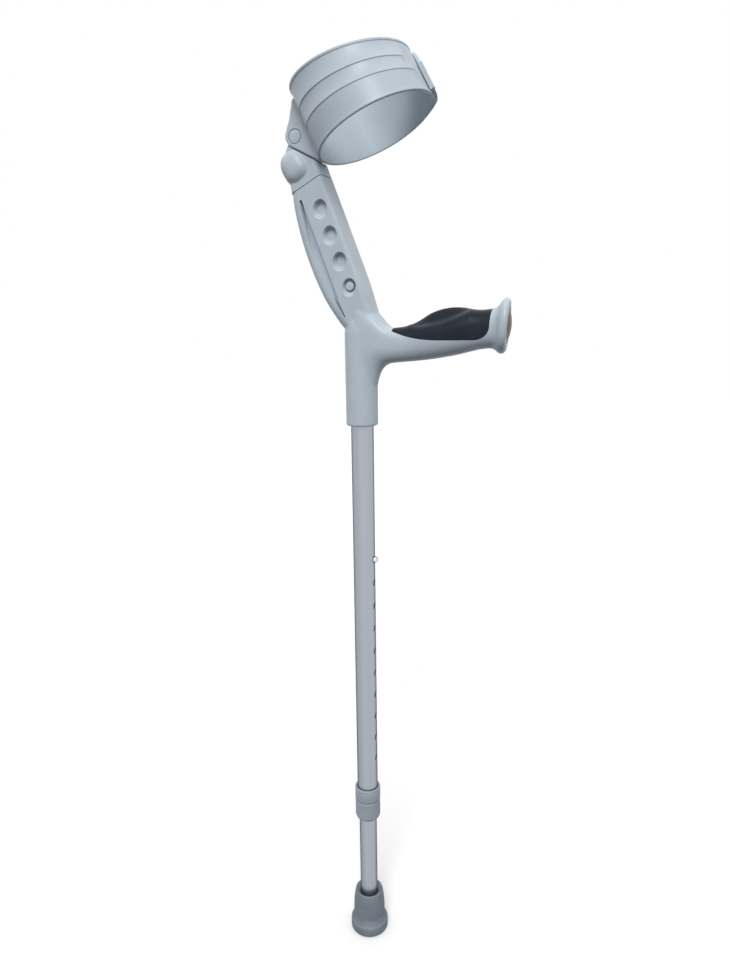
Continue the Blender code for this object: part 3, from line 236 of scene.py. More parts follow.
class Bench:
    """Blender's modelling operators, called as by hand on one piece at a time."""

    def clear(self) -> None:
        """Leave edit mode and deselect everything."""
        if bpy.context.object is not None and bpy.context.object.mode != "OBJECT":
            bpy.ops.object.mode_set(mode="OBJECT")
        bpy.ops.object.select_all(action="DESELECT")

    def pick(self, piece: bpy.types.Object) -> None:
        """Make a piece the only selected one.

        Args:
            piece: The piece.
        """
        self.clear()
        piece.select_set(True)
        bpy.context.view_layer.objects.active = piece

    def started(self, name: str) -> bpy.types.Object:
        """Name the primitive that was just added.

        Args:
            name: Its name.

        Returns:
            The named piece.
        """
        piece = bpy.context.object
        piece.name = name
        piece.data.name = name
        return piece

    def settle(self, piece: bpy.types.Object, place: Matrix) -> bpy.types.Object:
        """Move, turn and stretch a piece, and apply that to its mesh.

        Args:
            piece: The piece.
            place: The matrix that takes it to its place.

        Returns:
            The same piece.
        """
        piece.matrix_world = place
        self.pick(piece)
        bpy.ops.object.transform_apply(location=True, rotation=True, scale=True)
        return piece

    def loft(self, name: str, rings: Sequence[Ring], endless: bool = False) -> bpy.types.Object:
        """Extrude a circle of points from ring to ring.

        Args:
            name: Name of the new piece.
            rings: Rings of equal count.
            endless: Whether the last ring meets the first instead of a flat end.

        Returns:
            The closed piece.
        """
        self.clear()
        fill = "NOTHING" if endless else "NGON"
        bpy.ops.mesh.primitive_circle_add(vertices=len(rings[0]), radius=0.01, fill_type=fill)
        piece = self.started(name)
        for vertex, place in zip(piece.data.vertices, rings[0]):
            vertex.co = place
        bpy.ops.object.mode_set(mode="EDIT")
        bpy.ops.mesh.select_all(action="SELECT")
        current = list(range(len(rings[0])))
        for ring in [*rings[1:], *(rings[:1] if endless else [])]:
            bpy.ops.mesh.extrude_region_move()
            mesh = bmesh.from_edit_mesh(piece.data)
            mesh.verts.index_update()
            mesh.verts.ensure_lookup_table()
            following = []
            for index in current:
                old = mesh.verts[index]
                neighbours = (edge.other_vert(old) for edge in old.link_edges)
                following.append(next(vertex.index for vertex in neighbours if vertex.select))
            for index, place in zip(following, ring):
                mesh.verts[index].co = place
            current = following
        bpy.ops.mesh.select_all(action="SELECT")
        bpy.ops.mesh.remove_doubles(threshold=MERGE)
        bpy.ops.mesh.normals_make_consistent(inside=False)
        bpy.ops.object.mode_set(mode="OBJECT")
        return piece

    def turn(
        self, name: str, profile: Sequence[Pair], steps: int = 96, at: Vector = ORIGIN, axis: Vector = UP
    ) -> bpy.types.Object:
        """Extrude a point along a profile and spin it round.

        Args:
            name: Name of the new piece.
            profile: Pairs of radius and height. It is closed if it doesn't start on the axis.
            steps: Steps of the full turn.
            at: Where the axis starts.
            axis: Direction of the axis.

        Returns:
            The closed piece.
        """
        self.clear()
        bpy.ops.mesh.primitive_plane_add(size=0.001)
        piece = self.started(name)
        bpy.ops.object.mode_set(mode="EDIT")
        bpy.ops.mesh.merge(type="CENTER")
        bpy.ops.transform.translate(value=(profile[0][0], 0.0, profile[0][1]))
        for (radius, height), (wider, higher) in zip(profile, profile[1:]):
            bpy.ops.mesh.extrude_region_move(
                TRANSFORM_OT_translate={"value": (wider - radius, 0.0, higher - height)}
            )
        bpy.ops.mesh.select_all(action="SELECT")
        if profile[0][0] > 0.0:
            mesh = bmesh.from_edit_mesh(piece.data)
            ends = [vertex for vertex in mesh.verts if len(vertex.link_edges) == 1]
            mesh.edges.new(ends).select = True
        bpy.ops.mesh.spin(steps=steps, angle=math.tau, center=(0, 0, 0), axis=(0, 0, 1))
        bpy.ops.mesh.select_all(action="SELECT")
        bpy.ops.mesh.remove_doubles(threshold=MERGE)
        bpy.ops.mesh.normals_make_consistent(inside=False)
        bpy.ops.object.mode_set(mode="OBJECT")
        turned = UP.rotation_difference(axis).to_matrix().to_4x4()
        return self.settle(piece, Matrix.Translation(at) @ turned)

    def block(self, at: Vector, along: Vector, up: Vector, size: Triple) -> bpy.types.Object:
        """Add a box round a point, with its sides along two directions and across them.

        Args:
            at: Its middle.
            along: Direction of its first size.
            up: Direction of its third size, square to the first.
            size: Its sizes along, across and up.

        Returns:
            The box.
        """
        self.clear()
        bpy.ops.mesh.primitive_cube_add(size=1.0)
        piece = self.started("block")
        across = up.cross(along).normalized()
        axes = Matrix((along * size[0], across * size[1], up * size[2])).transposed().to_4x4()
        return self.settle(piece, Matrix.Translation(at) @ axes)

    def prism(self, name: str, outline: Sequence[Vector], depth: float) -> bpy.types.Object:
        """Draw an outline out along Y, half to each side."""
        sides = (-depth / 2, depth / 2)
        return self.loft(name, [[place + SIDE * side for place in outline] for side in sides])

    def slab(self, lean: Lean, along: float, way: int) -> bpy.types.Object:
        """Add the block that takes the housing away past its sloped top.

        Args:
            lean: The housing.
            along: Where the top is.
            way: 1 for the block above it and -1 for the block under it.

        Returns:
            The block.
        """
        wide, tall = 0.1, 0.04
        across = (lean.out + lean.up * lean.top_slope).normalized()
        upward = (lean.up - lean.out * lean.top_slope).normalized()
        level = lean.point(along - lean.top_slope * lean.top_slope_from, 0.0)
        return self.block(level + upward * (way * tall / 2), across, upward, (wide, wide, tall))

    def apply(self, piece: bpy.types.Object, kind: str, **settings: object) -> None:
        """Add one modifier with its settings and apply it.

        Args:
            piece: The piece that it works on.
            kind: Blender's name of the modifier's type.
            settings: Properties of the modifier.
        """
        modifier = piece.modifiers.new(kind.title(), kind)
        for key, value in settings.items():
            setattr(modifier, key, value)
        self.pick(piece)
        bpy.ops.object.modifier_apply(modifier=modifier.name)

    def combine(self, piece: bpy.types.Object, how: Combine, *tools: bpy.types.Object) -> bpy.types.Object:
        """Fuse the tools into one solid and let it work on a piece. The tools are used up.

        Args:
            piece: The piece that is changed.
            how: Cut, fuse or share.
            tools: The tools. They are fused one by one, because crossing shells in one mesh cut badly.

        Returns:
            The changed piece.
        """
        first = tools[0]
        for other in tools[1:]:
            self.apply(first, "BOOLEAN", operation="UNION", object=other, solver="EXACT")
            bpy.data.objects.remove(other)
        self.apply(piece, "BOOLEAN", operation=how.value, object=first, solver="EXACT")
        bpy.data.objects.remove(first)
        return piece

    def join(self, first: bpy.types.Object, *others: bpy.types.Object) -> bpy.types.Object:
        """Put several shapes into the first one's mesh as they are.

        Args:
            first: The shape that stays.
            others: The shapes that go into it.

        Returns:
            The first shape.
        """
        self.pick(first)
        for other in others:
            other.select_set(True)
        bpy.ops.object.join()
        return first

    def relax(
        self, piece: bpy.types.Object, rounds: int, weight: Callable[[Vector], float] | None = None
    ) -> None:
        """Smooth a mesh, all over or as much as a weight says at each point.

        Args:
            piece: The piece.
            rounds: Number of passes.
            weight: Gives the share of smoothing at a point, from 0 to 1.
        """
        group = ""
        if weight is not None:
            made = piece.vertex_groups.new(name="soft")
            group = made.name
            for vertex in piece.data.vertices:
                share = weight(vertex.co)
                if share > 0.0:
                    made.add([vertex.index], share, "REPLACE")
        self.apply(piece, "SMOOTH", factor=0.5, iterations=rounds, vertex_group=group)
        piece.vertex_groups.clear()

    def melt(self, piece: bpy.types.Object, voxel: float) -> None:
        """Make one even skin round all the shapes in a mesh."""
        size = voxel * 1.0
        self.apply(piece, "REMESH", mode="VOXEL", voxel_size=size, adaptivity=0.0)

    def round_edges(self, piece: bpy.types.Object, width: float, segments: int, angle: float) -> None:
        """Bevel the edges that are sharper than an angle in degrees."""
        limit = math.radians(angle)
        self.apply(piece, "BEVEL", width=width, segments=segments, limit_method="ANGLE", angle_limit=limit)

    def soften(self, piece: bpy.types.Object, angle: float = 32.0) -> bpy.types.Object:
        """Shade a piece smoothly across its flatter edges.

        Args:
            piece: The piece.
            angle: The angle in degrees.

        Returns:
            The same piece.
        """
        self.pick(piece)
        bpy.ops.object.shade_smooth_by_angle(angle=math.radians(angle))
        return piece


def add_node(
    tree: bpy.types.NodeTree, kind: str, inputs: dict[str, object] | None = None, **settings: object
) -> bpy.types.Node:
    """Add a node with its settings, values and links.

    Args:
        tree: Node tree of the material or world.
        kind: Blender's name of the node type.
        inputs: A value or an output socket for each input.
        settings: Properties of the node itself.

    Returns:
        The new node.
    """
    made = tree.nodes.new(kind)
    for key, value in settings.items():
        setattr(made, key, value)
    for key, value in (inputs or {}).items():
        if isinstance(value, bpy.types.NodeSocket):
            tree.links.new(value, made.inputs[key])
        else:
            made.inputs[key].default_value = value
    return made


@dataclass(frozen=True)
class Finish:
    """One surface, as what it is and how it was made.

    The tone drifts between two colours over patches of drift_mm. The fine texture has
    grains of grain_mm and a height of relief_mm, and may be drawn out along Z.
    """

    name: str
    slot: Slot
    colour: str
    shade: str
    roughness: Pair
    metallic: float = 0.0
    # Tint of the reflection at grazing angles: white leaves it as it is, and a dark tint paints shade onto the
    # edges
    painted_edge_shade: str = "#ffffff"
    sheen: float = 0.0
    coat: float = 0.0
    ior: float = 1.5
    specular: float = 0.3
    drift_mm: float = 30.0
    grain_mm: float = 0.5
    relief_mm: float = 0.02
    drawn: float = 1.0

    def make(self) -> bpy.types.Material:
        """Build the material's nodes.

        Returns:
            The material.
        """
        material = bpy.data.materials.new(self.name)
        material.use_nodes = True
        tree = material.node_tree
        tree.nodes.clear()
        place = add_node(tree, "ShaderNodeTexCoord").outputs["Object"]
        squeeze = (1.0, 1.0, 1.0 / self.drawn)
        where = add_node(tree, "ShaderNodeMapping", {"Vector": place, "Scale": squeeze}).outputs["Vector"]
        drift = add_node(
            tree, "ShaderNodeTexNoise", {"Vector": where, "Scale": 1000.0 / self.drift_mm, "Detail": 4.0}
        ).outputs["Fac"]
        ramp = add_node(tree, "ShaderNodeValToRGB", {"Fac": drift})
        tones = (self.shade, self.colour)
        for stop, position, colour in zip(ramp.color_ramp.elements, (0.35, 0.65), tones):
            stop.position = position
            stop.color = linear(colour)
        grain = add_node(
            tree,
            "ShaderNodeTexNoise",
            {"Vector": where, "Scale": 1000.0 / self.grain_mm, "Detail": 2.0, "Roughness": 0.6},
        ).outputs["Fac"]
        smoothest, roughest = self.roughness
        rough = add_node(
            tree,
            "ShaderNodeMapRange",
            {"Value": grain, "From Min": 0.3, "From Max": 0.7, "To Min": smoothest, "To Max": roughest},
        ).outputs["Result"]
        bump = add_node(
            tree, "ShaderNodeBump", {"Strength": 0.6, "Distance": self.relief_mm / 1000.0, "Height": grain}
        ).outputs["Normal"]
        surface = add_node(
            tree,
            "ShaderNodeBsdfPrincipled",
            {
                "Base Color": ramp.outputs["Color"],
                "Roughness": rough,
                "Metallic": self.metallic,
                # A dark edge tint paints shade onto the grazing edges
                "Specular Tint": linear(self.painted_edge_shade),
                "Sheen Weight": self.sheen,
                "Coat Weight": self.coat,
                "IOR": self.ior,
                "Specular IOR Level": 0.5 if self.metallic else self.specular,
                "Normal": bump,
            },
        )
        add_node(tree, "ShaderNodeOutputMaterial", {"Surface": surface.outputs["BSDF"]})
        return material


FINISHES = (
    # Polypropylene from a spark-eroded mould: an even satin blue-grey with a very fine grain.
    Finish(
        "moulded_polypropylene",
        Slot.MOULDING,
        "#b6c2ca",
        "#b0bbc4",
        (0.34, 0.42),
        ior=1.49,
        relief_mm=0.012,
    ),
    # The clamp is moulded from a darker grey, a little more matt.
    Finish(
        "moulded_collar_plastic",
        Slot.COLLAR,
        "#97a0aa",
        "#919aa4",
        (0.40, 0.48),
        ior=1.49,
        relief_mm=0.012,
    ),
    # Drawn and anodised tube: soft lines along it and a satin shine. Its near-black edge tint is painted shade: it
    # darkens the edges as the dark surroundings reflected there would.
    Finish(
        "anodised_aluminium",
        Slot.ALUMINIUM,
        "#a9afb8",
        "#9ca3a9",
        (0.30, 0.42),
        metallic=1.0,
        painted_edge_shade="#1c1d20",
        drift_mm=9.0,
        grain_mm=0.35,
        relief_mm=0.004,
        drawn=160.0,
    ),
    # Chromed button: nearly a mirror. Its near-black edge tint paints dark reflections onto its rim.
    Finish(
        "chrome_plate",
        Slot.CHROME,
        "#d6d7d8",
        "#cfd0d2",
        (0.08, 0.14),
        metallic=1.0,
        painted_edge_shade="#0c0d10",
        relief_mm=0.001,
    ),
    # Hardened strip and wire with their rolled surface.
    Finish("spring_steel", Slot.SPRING, "#a6a6a4", "#8f9090", (0.28, 0.40), metallic=1.0, relief_mm=0.004),
    # Zinc plate: a soft bluish grey with a faint spangle.
    Finish(
        "zinc_plate",
        Slot.ZINC,
        "#a9acae",
        "#9a9da0",
        (0.35, 0.48),
        metallic=1.0,
        grain_mm=0.8,
        relief_mm=0.006,
    ),
    # Soft thermoplastic under the palm: satin blue-black with a leathery grain.
    Finish(
        "soft_touch_grip",
        Slot.GRIP,
        "#151f2b",
        "#101924",
        (0.36, 0.43),
        specular=0.22,
        drift_mm=18.0,
        grain_mm=0.7,
        relief_mm=0.02,
    ),
    # Brown end disc: a plain moulding with a slight gloss.
    Finish("moulded_brown_disc", Slot.DISC, "#66524f", "#5d4a48", (0.38, 0.46), relief_mm=0.01),
    # Grey rubber of the foot: matt, with a bloom that shifts its tone.
    Finish(
        "moulded_grey_rubber",
        Slot.RUBBER,
        "#747e86",
        "#6c757d",
        (0.56, 0.68),
        ior=1.52,
        drift_mm=14.0,
        relief_mm=0.02,
    ),
    # Natural nylon of the inner plugs and the collet: milky white and waxy.
    Finish("natural_nylon", Slot.NYLON, "#e4e3de", "#dad9d2", (0.40, 0.50), ior=1.53, relief_mm=0.01),
)


class Workshop:
    """Bench, finishes and the finishing of each piece."""

    def __init__(self) -> None:
        """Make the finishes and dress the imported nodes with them."""
        self.bench = Bench()
        self.materials = {finish.slot: finish.make() for finish in FINISHES}
        self.slots = {part["node"]: Slot(part["material_slot"]) for part in frame["record"]["subparts"]}
        for name, piece in frame["nodes"].items():
            piece.data.materials.clear()
            piece.data.materials.append(self.materials[self.slots[name]])

    def body_of(self, node: str) -> str:
        """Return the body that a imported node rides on."""
        bodies = frame["record"]["behaviour"]["bodies"]
        return next(name for name, members in bodies.items() if node in members)

    def hand_over(self, piece: bpy.types.Object, node: str, angle: float = 32.0) -> bpy.types.Object:
        """Shade a piece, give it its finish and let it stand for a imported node.

        Args:
            piece: The finished piece.
            node: The node that it stands for.
            angle: Edges flatter than this many degrees are shaded smoothly.

        Returns:
            The same piece.
        """
        self.bench.soften(piece, angle)
        slot = self.slots[node]
        piece.data.materials.clear()
        piece.data.materials.append(self.materials[slot])
        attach(piece, self.body_of(node))
        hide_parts(node)
        LOG.info("%s stands for %s with %d faces", piece.name, node, len(piece.data.polygons))
        return piece


@dataclass
class HandleMoulding:
    """Socket, handle bar with its flared end, leaning housing, palm pad and end disc."""

    shop: Workshop
    lean: Lean
    foot: float
    # Socket on the upper tube
    socket_r: float = 0.0155
    socket_top: float = 0.108
    socket_edge: float = 0.0008
    # Leaning housing, with its slimmer root and the bowed rib at its back
    housing_top: float = 0.1137
    housing_foot: float = -0.024
    over_top: float = 0.003
    root_length: float = 0.045
    root_taper: Triple = (0.0028, 0.004, 0.006)
    rib_foot: float = -0.018
    rib_bow: float = 0.0087
    rib_round: float = 0.85
    front_edge_r: float = 0.0035
    back_edge_r: float = 0.0075
    # Crescent groove in front of the rib. Pairs hold the value where it is narrow and where it is wide
    groove_line: float = 0.0140
    groove_sink: float = 0.0030
    groove_opens: Pair = (0.0020, 0.0060)
    groove_slant: Pair = (0.0004, 0.0028)
    groove_flank: Pair = (0.0004, 0.0007)
    groove_shelf: Pair = (1.0, 0.75)
    # Kerf in the groove's floor: its width, and pairs of place along and depth below the floor
    kerf_width: float = 0.0012
    kerf: tuple[Pair, ...] = (
        (-0.0090, 0.0055),
        (0.0020, 0.0055),
        (0.0080, 0.0020),
        (0.0140, 0.0),
        (0.0550, 0.0),
        (0.0700, 0.0008),
        (0.0850, 0.0022),
        (0.0960, 0.0050),
        (0.1050, 0.0055),
    )
    # Width of the groove, as pairs of place along and width
    groove: tuple[Pair, ...] = (
        (-0.0085, 0.0018),
        (-0.0040, 0.0026),
        (0.0010, 0.0038),
        (0.0100, 0.0055),
        (0.0210, 0.0066),
        (0.0300, 0.0073),
        (0.0400, 0.0079),
        (0.0500, 0.0083),
        (0.0600, 0.0083),
        (0.0700, 0.0077),
        (0.0790, 0.0065),
        (0.0900, 0.0049),
        (0.0990, 0.0031),
        (0.1045, 0.0022),
    )
    # Height holes of the post, with their dishes
    steps: int = 4
    step: float = 0.025
    bore_r: float = 0.0048
    dish_r: float = 0.0075
    dish_sink: float = 0.0036
    dish_drop: float = 0.0015
    dish_stretch: Pair = (1.16, 0.90)
    # Channel that the post slides in
    channel_front: float = 0.0093
    channel_depth: float = 0.0192
    channel_foot: float = 0.0008
    # Hollow along the near side of the grip: its depth, and from which X to which
    palm: Triple = (0.0098, 0.050, 0.1070)
    # How far to the near side the hollow starts to rise, and over which width it does
    palm_edge: float = 0.0075
    palm_flank: float = 0.0100
    # Soft pad under the palm, with its outline seen from the side
    pad_thickness: float = 0.0065
    pad_from: float = 0.0350
    pad_to: float = 0.1255
    pad_tip_z: float = 0.0895
    pad_edge_z: float = 0.0815
    pad_flat_from: float = 0.086
    pad_curve: float = 2.6
    pad_corner: Pair = (0.014, 0.0115)
    # How far the pad's blank, the spine under its pocket and the bed under it go past its two ends
    past_pad: Pair = (0.008, 0.006)
    past_spine: Pair = (0.008, 0.003)
    past_bed: Pair = (0.009, 0.007)
    # Width of the pad's cutters, which go past both sides of the bar
    past_sides: float = 0.08
    # How the end of the bar leans and turns, and the X at which that starts
    end_lean: float = math.radians(4.0)
    end_turn: float = math.radians(7.0)
    lean_from: float = 0.110
    # X up to which the bar hugs the socket, the power of its section, and what its root adds to that
    hug_to: float = 0.044
    bar_roundness: float = 2.3
    root_squareness: float = 5.0
    # Disc in the end
    disc_r: float = 0.0155
    disc_thickness: float = 0.002
    disc_dome: float = 0.003
    # Fineness of the skin, and the smoothing of it all and of the junction of the limbs
    ring_count: int = 72
    voxel: float = 0.00085
    junction: Pair = (0.012, 0.098)
    junction_reach: float = 0.022
    junction_fade: float = 0.016
    relax_all: int = 5
    relax_junction: int = 9
    # Sections of the bar: X, lowest and highest Z above the foot, and half width
    rows: tuple[Quad, ...] = (
        (0.0100, 0.0440, 0.1120, 0.0146),
        (0.0158, 0.0390, 0.1090, 0.0145),
        (0.0174, 0.0450, 0.1062, 0.0145),
        (0.0197, 0.0510, 0.1035, 0.0144),
        (0.0235, 0.0560, 0.0990, 0.0143),
        (0.0275, 0.0586, 0.0945, 0.0142),
        (0.0315, 0.0597, 0.0921, 0.0142),
        (0.0360, 0.0603, 0.0923, 0.0143),
        (0.0460, 0.0612, 0.0938, 0.0147),
        (0.0560, 0.0621, 0.0978, 0.0158),
        (0.0670, 0.0633, 0.1042, 0.0170),
        (0.0740, 0.0643, 0.1070, 0.0177),
        (0.0810, 0.0654, 0.1088, 0.0181),
        (0.0900, 0.0670, 0.1098, 0.0182),
        (0.0990, 0.0690, 0.1094, 0.0179),
        (0.1080, 0.0712, 0.1078, 0.0174),
        (0.1150, 0.0727, 0.1072, 0.0171),
        (0.1200, 0.0734, 0.1075, 0.0170),
        (0.1265, 0.0734, 0.1086, 0.0174),
        (0.1300, 0.0715, 0.1110, 0.0190),
        (0.1324, 0.0697, 0.1150, 0.0216),
        (0.1350, 0.0690, 0.1172, 0.0232),
        (0.1376, 0.0698, 0.1166, 0.0230),
        (0.1392, 0.0719, 0.1147, 0.0213),
    )

    def bar_ring(self, at: float, inset: float = 0.0) -> Ring:
        """Return one section of the bar, which hugs the socket at its root and turns at its end.

        Args:
            at: Where along X.
            inset: How far the section lies inside the bar's skin.

        Returns:
            The section, as many points as ring_count.
        """
        x, low, high, half_width = through(self.rows, at)
        low, high, half_width = low + inset, high - inset, half_width - inset
        middle, half = (low + high) / 2, (high - low) / 2
        end = self.rows[-1][0]
        at_tip = ease((x - self.lean_from) / (end - self.lean_from))
        hug = 1 - ease((x - self.socket_r) / (self.hug_to - self.socket_r))
        rise_of, palm_from, palm_to = self.palm
        swell = rise_of * math.sin(math.pi * min(max((x - palm_from) / (palm_to - palm_from), 0.0), 1.0))
        ring = []
        for step in range(self.ring_count):
            angle = math.tau * step / self.ring_count
            power = self.bar_roundness + (self.root_squareness * hug if math.sin(angle) > 0 else 0.0)
            wide = math.copysign(abs(math.cos(angle)) ** (2 / power), math.cos(angle))
            tall = math.copysign(abs(math.sin(angle)) ** (2 / power), math.sin(angle))
            side = half_width * wide
            wrap = hug * (self.socket_r - math.sqrt(self.socket_r**2 - side**2)) if hug > 0 else 0.0
            turn = at_tip * (math.tan(self.end_lean) * half * tall - math.tan(self.end_turn) * side)
            drop = swell * (1 - ease((side + self.palm_edge) / self.palm_flank)) * max(0.0, tall)
            ring.append(Vector((x - wrap + turn, side, self.foot + middle + half * tall - drop)))
        return ring

    def bar(self, name: str, start: float, end: float, count: int, inset: float = 0.0) -> bpy.types.Object:
        """Loft the bar, or a stretch of it, with as many sections as asked."""
        return self.shop.bench.loft(name, [self.bar_ring(x, inset) for x in between(start, end, count)])

    def under_pad(self, name: str, past: Pair, count: int, inset: float = 0.0) -> bpy.types.Object:
        """Loft the stretch of the bar that the pad lies on, and past the pad at both ends."""
        return self.bar(name, self.pad_from - past[0], self.pad_to + past[1], count, inset)

    def rib_back(self, along: float) -> float:
        """Return how far the bowed back of the housing stands behind its axis.

        Args:
            along: Where along the housing.

        Returns:
            The out value of the back, which is below zero.
        """
        middle = (self.rib_foot + self.housing_top) / 2
        half = (self.housing_top - self.rib_foot) / 2
        share = max(0.0, 1 - ((along - middle) / half) ** 2)
        return -(self.lean.back + self.rib_bow * share**self.rib_round)

    def housing(self) -> bpy.types.Object:
        """Loft the leaning housing, a little past its top, where it is cut to its slope later.

        Returns:
            The housing.
        """
        rings = []
        narrower, back_rounder, front_rounder = self.root_taper
        for along in between(self.housing_foot, self.housing_top + self.over_top, 50):
            near_root = 1 - ease((along - self.housing_foot) / self.root_length)
            back = self.rib_back(along) if along >= self.rib_foot else -self.groove_line
            section = rounded_box(
                back,
                self.lean.front,
                self.lean.depth - narrower * near_root,
                self.back_edge_r + back_rounder * near_root,
                self.front_edge_r + front_rounder * near_root,
            )
            rings.append(self.lean.ring(along, section))
        return self.shop.bench.loft("housing", rings)

    def socket(self) -> bpy.types.Object:
        """Spin the socket that sits on the tube.

        Returns:
            The socket.
        """
        edge, foot, top = self.socket_edge, self.foot, self.foot + self.socket_top
        profile = [
            (0.0, foot),
            (self.socket_r - edge, foot),
            (self.socket_r, foot + edge),
            (self.socket_r, top - 0.020),
            (self.socket_r - 0.001, top - 0.012),
            (self.socket_r - 0.005, top),
            (0.0, top),
        ]
        return self.shop.bench.turn("socket", profile)

    def at_junction(self, place: Vector) -> float:
        """Return how much the mesh is smoothed at a point, most where the three limbs meet."""
        centre = Vector((self.junction[0], 0.0, self.foot + self.junction[1]))
        return 1.0 - ease(((place - centre).length - self.junction_reach) / self.junction_fade)

    def pad_outline(self, grow: float) -> list[Vector]:
        """Return the side outline of the palm pad, from its tip round its lower edge to its outer end.

        Args:
            grow: How far the outline lies outside the pad's own.

        Returns:
            The outline in the plane of the handle.
        """
        places = []
        for x in between(self.pad_from, self.pad_flat_from, 25):
            share = max(0.0, (self.pad_flat_from - x) / (self.pad_flat_from - self.pad_from))
            rise = (self.pad_tip_z - self.pad_edge_z) * share**self.pad_curve
            places.append((x - grow, self.pad_edge_z + rise - grow))
        long, high = self.pad_corner
        for angle in between(0.0, math.pi / 2, 16):
            x = self.pad_to - long * (1 - math.sin(angle))
            z = self.pad_edge_z + high * (1 - math.cos(angle))
            places.append((x + grow * math.sin(angle), z - grow * math.cos(angle)))
        top = self.rows[-1][2] + 0.01
        lean = math.tan(self.end_lean) * (top - self.pad_edge_z - high) * 0.5
        places += [(self.pad_to + grow + lean, top), (self.pad_from - grow, top)]
        return [Vector((x, 0.0, self.foot + z)) for x, z in places]

    def end_face(self) -> tuple[Vector, Vector]:
        """Return the middle of the bar's end and the way it looks.

        Returns:
            The point and the unit direction.
        """
        x, low, high, _ = self.rows[-1]
        out = Vector((1.0, math.tan(self.end_turn), -math.tan(self.end_lean))).normalized()
        return Vector((x, 0.0, self.foot + (low + high) / 2)), out

    def dished_hole(self, number: int) -> bpy.types.Object:
        """Spin the cutter of one height hole: a soft lip, a dish that drops down, and the button's bore.

        Args:
            number: Number of the hole, from 0 at the lowest.

        Returns:
            The cutter.
        """
        deep = self.lean.depth / 2 - self.channel_depth / 2 + 0.002
        wide, bore, sink = self.dish_r, self.bore_r, self.dish_sink
        profile = [
            (0.0, -0.002),
            (wide + 0.0005, -0.002),
            (wide + 0.0005, -0.0001),
            (wide + 0.0001, 0.0001),
            (wide - 0.0003, 0.0004),
            (wide - 0.0007, 0.0010),
            (bore + 0.0009, sink - 0.0008),
            (bore + 0.0004, sink),
            (bore, sink + 0.0008),
            (bore, deep),
            (0.0, deep),
        ]
        bench = self.shop.bench
        piece = bench.turn("dished_hole", profile, 72, ORIGIN, SIDE)
        for vertex in piece.data.vertices:
            share = min(max(vertex.co.y / sink, 0.0), 1.0)
            vertex.co -= self.lean.up * (self.dish_drop * (1.0 - share))
        at = self.lean.point(self.lean.lowest_step + self.step * number, 0.0, -self.lean.depth / 2)
        along, across = self.dish_stretch
        stretch = Matrix.Scale(along, 4, self.lean.up) @ Matrix.Scale(across, 4, self.lean.out)
        return bench.settle(piece, Matrix.Translation(at) @ stretch)

    def crescent(self, way: int) -> bpy.types.Object:
        """Loft the cutter of the crescent groove in one side of the housing.

        Args:
            way: -1 for the near side and 1 for the far side.

        Returns:
            The cutter, with a slanted front flank, a floor, a kerf in it and a steep flank at the rib.
        """
        face, sink = self.lean.depth / 2, self.groove_sink
        closed, opened = self.groove_opens
        rings = []
        for along in between(self.groove[0][0], self.groove[-1][0], 70):
            _, width = through(self.groove, along)
            open_here = ease((width - closed) / (opened - closed))
            slant = mix(*self.groove_slant, open_here)
            front, back = 0.0002 * open_here - self.groove_line, -self.groove_line - width
            flank = mix(*self.groove_flank, open_here)
            shelf = sink * mix(*self.groove_shelf, open_here)
            deep = sink + max(0.0, through(self.kerf, along)[1])
            kerf = min(self.kerf_width, width - slant - flank - 0.0003)
            section = [
                (front + 0.0005, -0.0015),
                (front + 0.0001, 0.0),
                (front - 0.22 * slant, 0.12 * shelf),
                (front - 0.50 * slant, 0.45 * shelf),
                (front - 0.78 * slant, 0.85 * shelf),
                (front - slant, shelf),
                (back + flank + kerf, sink),
                (back + flank + 0.6 * kerf, deep),
                (back + flank, deep),
                (back + 0.5 * flank, 0.5 * sink),
                (back, 0.12 * sink),
                (back - 0.0002, 0.0),
                (back - 0.0004, -0.0015),
            ]
            rings.append([self.lean.point(along, out, way * (face - depth)) for out, depth in section])
        return self.shop.bench.loft("crescent", rings)

    def channel(self) -> bpy.types.Object:
        """Loft the square channel of the cuff post.

        Returns:
            The cutter.
        """
        corner_r = 0.0015
        front = self.channel_front
        section = rounded_box(-front, front, self.channel_depth, corner_r, corner_r, 5)
        rings = [self.lean.ring(along, section) for along in (self.channel_foot, self.housing_top + 0.02)]
        return self.shop.bench.loft("channel", rings)

    def moulding(self) -> bpy.types.Object:
        """Melt the three limbs into one skin and cut everything that is let into it.

        Returns:
            The finished moulding.
        """
        bench = self.shop.bench
        last = self.rows[-1][0]
        piece = bench.join(self.socket(), self.housing(), self.bar("bar", self.rows[0][0], last, 110))
        bench.melt(piece, self.voxel)
        bench.relax(piece, self.relax_all)
        bench.relax(piece, self.relax_junction, self.at_junction)
        pocket = bench.prism("pocket", self.pad_outline(FIT), self.past_sides)
        spine = self.under_pad("spine", self.past_spine, 60, self.pad_thickness)
        bench.combine(pocket, Combine.CUT, spine)
        lid = bench.slab(self.lean, self.housing_top, 1)
        bore_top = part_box("tube_plug")[1].z + FIT
        bore = bench.turn("bore", rod(TUBE_R + FIT, self.foot - 0.01, bore_top))
        at, out = self.end_face()
        seat = self.disc_thickness + 2 * FIT
        recess = bench.turn("recess", rod(self.disc_r + FIT, 0.0, 0.02), 96, at - out * seat, out)
        holes = [self.dished_hole(number) for number in range(self.steps)]
        bench.combine(piece, Combine.CUT, self.channel(), *holes, bore, lid)
        bench.combine(piece, Combine.CUT, pocket, recess, self.crescent(-1), self.crescent(1))
        piece.name = "handle_moulding"
        return self.shop.hand_over(piece, "handle_body")

